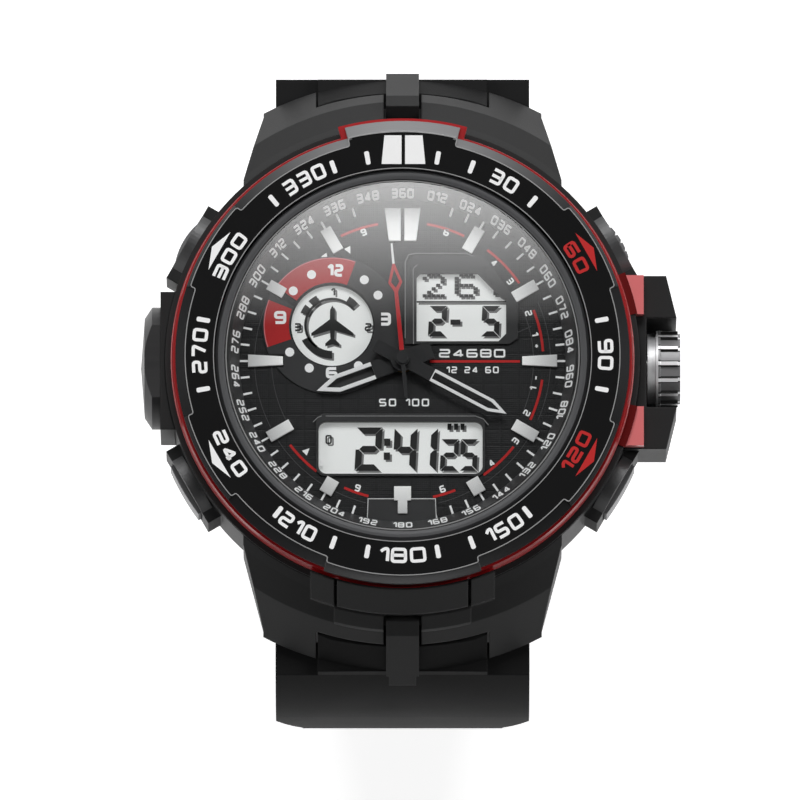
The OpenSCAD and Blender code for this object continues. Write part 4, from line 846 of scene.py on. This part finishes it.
def dial_prints():
    white, red, line = Shape(), Shape(), Shape()
    dial = at_height(DIAL_TOP)
    for start, end in RED_ARCS:
        red.ribbon(arc(RED_ARC_R, start, end), RED_ARC_WIDE, dial)
    red.bar(RED_BAR_LONG, RED_BAR_WIDE, flat_seen(*RED_BAR_SPOT, DIAL_TOP))
    for sign, column, row, bearing in DIAL_NUMBERS:
        turn = bearing if abs(bearing) < 90 else bearing - 180
        place = flat_seen(column, row, DIAL_TOP, turn)
        white.text(sign, DIAL_DIGIT_TALL, DIAL_DIGIT_WIDE, DIAL_DIGIT_STROKE, place)
    for column, row, bearing in TRIANGLES:
        white.slab(list(TRIANGLE), flat_seen(column, row, DIAL_TOP, bearing))
    for words, column, row, tall, wide, stroke, gap in DIAL_WORDS:
        white.text(words, tall * MM, wide * MM, stroke * MM, flat_seen(column, row, DIAL_TOP), gap=gap * MM)
    line.ribbon(seen_outline(CROSS_LINE, DIAL_TOP), CROSS_LINE_WIDE, dial)
    for radius, start, end in LINE_ARCS:
        line.ribbon(arc(radius * MM, start, end), LINE_WIDE, dial)
    add("dial_print_white", white, "white_print")
    add("dial_print_red", red, "red_print")
    add("dial_lines", line, "grey_print")


def foot_block():
    """Raised plain block under the 6 o'clock marker, with pale edges on three sides."""
    block, edge = Shape(), Shape()
    outline = seen_outline(FOOT_BLOCK, DIAL_TOP)
    block.slab(outline, at_height(DIAL_TOP), 0.0, FOOT_BLOCK_THICK)
    edge.ribbon(outline[3:] + outline[:3], FOOT_EDGE_WIDE, at_height(DIAL_TOP + FOOT_BLOCK_THICK))
    add("dial_foot_block", block, "frame")
    add("dial_foot_edges", edge, "silver")


class Growth(Graph):
    """A Geometry Nodes tree built by the same expressions, with named inputs for its sizes."""

    def __init__(self, name, **given):
        self.tree = bpy.data.node_groups.new(name, "GeometryNodeTree")
        self.tree.interface.new_socket("Geometry", in_out="OUTPUT", socket_type="NodeSocketGeometry")
        for key, value in given.items():
            kind = {int: "NodeSocketInt", float: "NodeSocketFloat"}[type(value)]
            self.tree.interface.new_socket(key, in_out="INPUT", socket_type=kind).default_value = value
        self.given = self.node("NodeGroupInput", out=tuple(given))

    def plain_mesh(self, geometry, finish):
        """Ends the tree, runs it once and gives back the mesh that it makes."""
        real = self.node("GeometryNodeRealizeInstances", None, [geometry])
        dressed = self.node("GeometryNodeSetMaterial", None,
                            {"Geometry": real, "Material": MATERIALS[finish]})
        self.node("NodeGroupOutput", None, [dressed], out=())
        carrier = new_object("carrier", bpy.data.meshes.new("carrier"))
        carrier.modifiers.new("grow", "NODES").node_group = self.tree
        ready = carrier.evaluated_get(bpy.context.evaluated_depsgraph_get())
        mesh = bpy.data.meshes.new_from_object(ready)
        bpy.data.objects.remove(carrier)
        return mesh


def dial_ticks():
    """Bars set round a circle, all but the ones near 12 o'clock, each pointing at the centre."""
    g = Growth("dial_ticks", Count=TICK_COUNT, Skip=TICKS_SKIPPED, Radius=TICK_R, Length=TICK_LONG,
               Width=TICK_WIDE, Thickness=INK, Height=DIAL_TOP)
    count, skip, radius, length, width, thickness, height = g.given
    ring = g.node("GeometryNodeMeshCircle", None, {"Vertices": count, "Radius": radius})
    bar = g.node("GeometryNodeMeshCube", None, {"Size": g.combine(length, width, thickness)})
    index = g.node("GeometryNodeInputIndex")
    turn = index / count * (2 * math.pi)
    from_top = (index - count / 4).math("ABSOLUTE")
    placed = g.node("GeometryNodeInstanceOnPoints", None,
                    {"Points": ring, "Selection": from_top > skip, "Instance": bar,
                     "Rotation": g.combine(0.0, 0.0, turn)})
    shift = g.combine(0.0, 0.0, height + thickness / 2)
    raised = g.node("GeometryNodeTransform", None, {"Geometry": placed, "Translation": shift})
    add_mesh("dial_ticks", g.plain_mesh(raised, "white_print"))


# The small display's ring

RING_ZONES = ((251, 292), (305, 380))
ZONE_LOW_R, ZONE_HIGH_R = 4.6 * MM, 7.2 * MM
ZONE_EDGE_R, ZONE_EDGE_WIDE = 7.22 * MM, 0.1 * MM
# Words, column, row, then width of a digit and height in mm
RING_NUMBERS = (("12", 335.6, 270.2, 0.98, 1.36), ("9", 280.4, 317.4, 1.3, 1.4), ("3", 385.7, 319, 1.2, 1.4),
                ("6", 332.1, 372.7, 1.25, 1.22))
RING_STROKE, RING_GAP = 0.32 * MM, 0.2 * MM
RING_DOTS = ((311.8, 274.4), (293.5, 290.7), (364.7, 279.6), (378.4, 295), (290, 352.1), (309.6, 368),
             (358.8, 365.7))
RING_DOT_R = 0.48 * MM


def ring_prints():
    zone, edge, white = Shape(), Shape(), Shape()
    top = flat(SUBDIAL.x, SUBDIAL.y, RING_TOP)
    for start, end in RING_ZONES:
        zone.slab(sector(ZONE_LOW_R, ZONE_HIGH_R, start, end), top)
        edge.ribbon(arc(ZONE_EDGE_R, start, end), ZONE_EDGE_WIDE, top, INK, 2 * INK)
    for words, column, row, wide, tall in RING_NUMBERS:
        place = flat_seen(column, row, RING_TOP)
        white.text(words, tall * MM, wide * MM, RING_STROKE, place, gap=RING_GAP, high=2 * INK)
    for column, row in RING_DOTS:
        white.disc(RING_DOT_R, flat_seen(column, row, RING_TOP), 2 * INK)
    add("ring_zone_red", zone, "red_zone")
    add("ring_zone_edge", edge, "pink_print")
    add("ring_numbers", white, "white_print")


# Liquid crystal marks, each black over its own grey shadow, at columns and rows of the photograph

SHADOW_SHIFT = 2.0
SEGMENT_GAP, SEGMENT_LEAN = 0.045 * MM, 3
SEGMENTS = {"1": "bc", "2": "abged", "4": "fgbc", "5": "afgcd"}
DOT_ROWS = {"2": (".###.", "#...#", "....#", "...#.", "..#..", ".#...", "#####"),
            "6": (".###.", "#....", "#....", "####.", "#...#", "#...#", ".###.")}
DOT_SHARE = 0.92
# Bars and dots: left, top, right, bottom. Signs: column, row, width, height, thickness
UPPER_BARS = ((417.2, 300.8, 507.3, 302.5), (494, 282, 498, 286), (494, 291, 498, 295),
              (451, 319.4, 461, 324.6))
UPPER_DOTTED = (("2", 434.2, 285.2, 22.4, 24.7), ("6", 466.8, 285.2, 23.6, 24.7))
UPPER_SIGNS = (("2", 438.2, 321, 18, 31, 5.2), ("5", 491.2, 321, 18, 31, 5.2))
LOWER_BARS = ((384.6, 438.6, 390.8, 446), (384.2, 452.5, 390.4, 460), (448, 423.6, 452, 430),
              (454.5, 423.6, 458.5, 430), (461, 423.6, 465, 430))
LOWER_SIGNS = (("2", 369, 449.2, 26, 44, 6.6), ("4", 405.5, 450, 23, 44, 6.6),
               ("1", 428.25, 450, 18.5, 44, 6.6), ("2", 450, 455, 18, 32, 4.8),
               ("5", 469.5, 455, 17, 32, 4.8))
ZERO_SPOT = (329, 439.5)
ZERO_TALL, ZERO_WIDE, ZERO_STROKE = 0.97 * MM, 0.67 * MM, 0.17 * MM
SMALL_CENTRE = (332.4, 325.1)
SMALL_ARC, SMALL_ARC_R, SMALL_ARC_WIDE = (-145, 50), 2.83 * MM, 0.26 * MM
SMALL_BLOCKS = ((31, 50), (-44, -28), (-68, -52), (180, 243))
SMALL_BLOCK_LOW_R, SMALL_BLOCK_HIGH_R = 2.76 * MM, 3.6 * MM
SMALL_NUMBERS = (("1", 333, 291.8), ("2", 368.5, 327), ("3", 298, 327))
SMALL_DIGIT_TALL, SMALL_DIGIT_WIDE, SMALL_DIGIT_STROKE = 0.86 * MM, 0.72 * MM, 0.18 * MM
# Right half of the aeroplane, from its nose to its tail, in pixels from its centre
JET_CENTRE = (332.7, 325)
JET_HALF = ((0, 20), (2.4, 15), (2.4, 6), (21, -8), (21, -11), (2.4, -5.5), (2, -14), (7, -18.5), (7, -21.5),
            (0, -19.5))


def seven(shape, sign, wide, tall, thick, place):
    """One seven-segment sign, leaning a little, with thin gaps between its segments."""
    gap = SEGMENT_GAP
    x, y, t = wide / 2, tall / 2, thick
    lean = math.tan(math.radians(SEGMENT_LEAN))
    forms = {
        "a": [(-x + gap, y), (x - gap, y), (x - t - gap, y - t), (-x + t + gap, y - t)],
        "g": [(-x + t / 2 + gap, 0), (-x + t + gap, t / 2), (x - t - gap, t / 2), (x - t / 2 - gap, 0),
              (x - t - gap, -t / 2), (-x + t + gap, -t / 2)],
        "b": [(x, y - gap), (x, gap), (x - t / 2, gap), (x - t, t / 2 + gap), (x - t, y - t - gap)],
    }
    for new, old, across, up in (("d", "a", 1, -1), ("c", "b", 1, -1), ("f", "b", -1, 1), ("e", "b", -1, -1)):
        forms[new] = [(u * across, v * up) for u, v in forms[old]]
    for segment in SEGMENTS[sign]:
        shape.slab([(u + v * lean, v) for u, v in forms[segment]], place)


def dotted(shape, sign, wide, tall, place):
    """One sign of five by seven square dots."""
    step_u, step_v = wide / 5, tall / 7
    x, y = step_u * DOT_SHARE / 2, step_v * DOT_SHARE / 2
    for j, row in enumerate(DOT_ROWS[sign]):
        for i, dot in enumerate(row):
            if dot == "#":
                u, v = (i - 2) * step_u, (3 - j) * step_v
                shape.slab([(u - x, v - y), (u + x, v - y), (u + x, v + y), (u - x, v + y)], place)


def bars_and_signs(shape, spot, bars, signs):
    for left, top, right, bottom in bars:
        place = spot((left + right) / 2, (top + bottom) / 2)
        shape.bar((right - left) * PIXEL, (bottom - top) * PIXEL, place)
    for sign, column, row, wide, tall, thick in signs:
        seven(shape, sign, wide * PIXEL, tall * PIXEL, thick * PIXEL, spot(column, row))


def upper_marks(shape, spot):
    bars_and_signs(shape, spot, UPPER_BARS, UPPER_SIGNS)
    for sign, column, row, wide, tall in UPPER_DOTTED:
        dotted(shape, sign, wide * PIXEL, tall * PIXEL, spot(column, row))


def lower_marks(shape, spot):
    bars_and_signs(shape, spot, LOWER_BARS, LOWER_SIGNS)
    shape.text("0", ZERO_TALL, ZERO_WIDE, ZERO_STROKE, spot(*ZERO_SPOT))


def small_marks(shape, spot):
    shape.ribbon(arc(SMALL_ARC_R, *SMALL_ARC), SMALL_ARC_WIDE, spot(*SMALL_CENTRE))
    for start, end in SMALL_BLOCKS:
        shape.slab(sector(SMALL_BLOCK_LOW_R, SMALL_BLOCK_HIGH_R, start, end), spot(*SMALL_CENTRE))
    half = [(u * PIXEL, v * PIXEL) for u, v in JET_HALF]
    shape.slab(half + [(-u, v) for u, v in half[-2:0:-1]], spot(*JET_CENTRE))
    for sign, column, row in SMALL_NUMBERS:
        shape.text(sign, SMALL_DIGIT_TALL, SMALL_DIGIT_WIDE, SMALL_DIGIT_STROKE, spot(column, row))


def liquid_crystal(name, draw):
    """The marks of one window, and under them the same marks in grey, shifted as their shadow."""
    layers = (("shade", "shade_print", SHADOW_SHIFT, 0.0), ("ink", "black_print", 0.0, INK))
    for suffix, finish, shift, low in layers:
        shape = Shape()
        draw(shape, lambda column, row: flat_seen(column + shift, row + shift, LCD_TOP + low))
        add(f"{name}_{suffix}", shape, finish)


bezel_prints()
edge_highlights()
trim_insides()
pusher_bridges()
return_springs()
crown_floor()
chapter_prints()
dial_prints()
foot_block()
dial_ticks()
ring_prints()
liquid_crystal("upper_display", upper_marks)
liquid_crystal("lower_display", lower_marks)
liquid_crystal("small_display", small_marks)


# Camera at the photograph's angle, so far away that it shows almost no perspective

AIM = Vector((-0.27 * MM, -4.88 * MM, PLATE_TOP))
LENS = 1600
SENSOR = 36
CLIP_START, CLIP_END = 0.01, 100


def aim(made, place, target):
    """Sets a camera or lamp at a place, looking at a target."""
    made.location = place
    made.rotation_mode = "QUATERNION"
    made.rotation_quaternion = (Vector(target) - Vector(place)).to_track_quat("-Z", "Y")


def make_camera():
    data = bpy.data.cameras.new("photo_camera")
    data.lens, data.sensor_width = LENS, SENSOR
    data.clip_start, data.clip_end = CLIP_START, CLIP_END
    camera = new_object("photo_camera", data)
    rise = math.radians(ELEVATION)
    eye = Vector((0, -math.cos(rise), math.sin(rise)))
    aim(camera, AIM + eye * (FRAME_PIXELS * PIXEL * LENS / SENSOR), AIM)
    bpy.context.scene.camera = camera


# Studio, in metres and watts

SKY = 0.038
FLOOR_PAINT, FLOOR_LIFT, FLOOR_SIDE = (0.9, 0.9, 0.9), 0.6, 4
# Name, place, target, width, height, power
LAMPS = (("back_soft", (0.0, 0.75, 0.95), (0, 0, 0.01), 0.7, 0.4, 8.0),
         ("left_soft", (-0.95, 0.15, 0.6), (0, 0, 0.005), 0.4, 0.6, 4.0),
         ("right_soft", (0.95, 0.15, 0.6), (0, 0, 0.005), 0.4, 0.6, 4.6))
# Black cards that keep the pale surroundings out of the glass: name, centre, width, height, tilt
FLAGS = (("flag_over", (0, 0.06, 0.5), 0.62, 0.62, 0), ("flag_front", (0, -0.5, 0.22), 0.8, 0.36, 70))
# The small card that stands for the pale haze in the glass
HAZE_LOW_Y, HAZE_HIGH_Y, HAZE_Z = 0.0489, 0.0665, 0.3
HAZE_WIDE, HAZE_TALL = 0.06, HAZE_HIGH_Y - HAZE_LOW_Y
HAZE_CENTRE = (0, (HAZE_LOW_Y + HAZE_HIGH_Y) / 2, HAZE_Z)
HAZE_SLOPE, HAZE_CURVE = 4.3, 2.9


def make_world():
    """White to the camera, to mirrors and through glass; plain and dimmer as a source of light."""
    world = bpy.data.worlds.new("studio")
    bpy.context.scene.world = world
    world.use_nodes = True
    graph = Graph(world.node_tree)
    back = graph.tree.nodes["Background"]
    graph.feed(back.inputs["Color"], FULL)
    graph.feed(back.inputs["Strength"], graph.shown() * (1 - SKY) + SKY)


def lamp(name, place, target, wide, high, power):
    data = bpy.data.lights.new(name, "AREA")
    data.shape, data.size, data.size_y, data.energy = "RECTANGLE", wide, high, power
    made = new_object(name, data)
    aim(made, place, target)
    return made


def stage_material(name):
    """A material of the studio and its graph, which is still empty."""
    material = bpy.data.materials.new(name)
    material.use_nodes = True
    graph = Graph(material.node_tree)
    graph.tree.nodes.clear()
    return material, graph


def card(name, material, centre, wide, high, tilt=0.0):
    """Flat sheet of the studio, turned about X by a tilt in degrees."""
    x, y = wide / 2, high / 2
    mesh = bpy.data.meshes.new(name)
    mesh.from_pydata([(-x, -y, 0), (x, -y, 0), (x, y, 0), (-x, y, 0)], [], [(0, 1, 2, 3)])
    mesh.materials.append(material)
    made = new_object(name, mesh)
    made.location = centre
    made.rotation_euler.x = math.radians(tilt)
    return made


def make_floor():
    """Pale floor that shows as white to the camera and in mirrors, and keeps the object's shadow."""
    material, graph = stage_material("pale_floor")
    paint = graph.node("ShaderNodeBsdfDiffuse", None, {"Color": FLOOR_PAINT})
    glow = graph.node("ShaderNodeEmission", None, {"Color": FULL, "Strength": FLOOR_LIFT})
    both = graph.node("ShaderNodeAddShader", None, [paint, glow])
    surface = graph.node("ShaderNodeMixShader", None, {0: graph.shown(), 1: paint, 2: both})
    graph.node("ShaderNodeOutputMaterial", None, {"Surface": surface}, out=())
    card("floor", material, (0, 0, CAD_LOW.z), FLOOR_SIDE, FLOOR_SIDE)


def haze(graph):
    """Strength of the haze card, growing towards 12 o'clock."""
    y = graph.split(graph.node("ShaderNodeTexCoord", out="Object"))[1]
    share = ((y + HAZE_TALL / 2) / HAZE_TALL).math("MAXIMUM", 0.0)
    return share * HAZE_SLOPE + share * share * HAZE_CURVE


def mirror_card(name, centre, wide, high, tilt=0.0, glow=None):
    """Sheet that only mirrors show: black, or as bright as the function `glow` makes it."""
    material, graph = stage_material(name)
    strength = glow(graph) if glow else 0.0
    surface = graph.node("ShaderNodeEmission", None, {"Color": FULL, "Strength": strength})
    graph.node("ShaderNodeOutputMaterial", None, {"Surface": surface}, out=())
    made = card(name, material, centre, wide, high, tilt)
    made.visible_camera = made.visible_diffuse = made.visible_shadow = made.visible_transmission = False
    return made


def light_the_glass(lamps, shine):
    """Only the glass mirrors the haze card, and it doesn't mirror the lamps."""
    for name, lights, state in (("glass_only", [shine], "INCLUDE"), ("all_but_glass", lamps, "EXCLUDE")):
        listed = bpy.data.collections.new(name)
        listed.objects.link(NODES["crystal"])
        listed.collection_objects[0].light_linking.link_state = state
        for light in lights:
            light.light_linking.receiver_collection = listed


make_camera()
make_world()
make_floor()
for flag in FLAGS:
    mirror_card(*flag)
haze_card = mirror_card("haze_card", HAZE_CENTRE, HAZE_WIDE, HAZE_TALL, glow=haze)
light_the_glass([lamp(*row) for row in LAMPS], haze_card)

scene = bpy.context.scene
scene.view_settings.view_transform = "Standard"
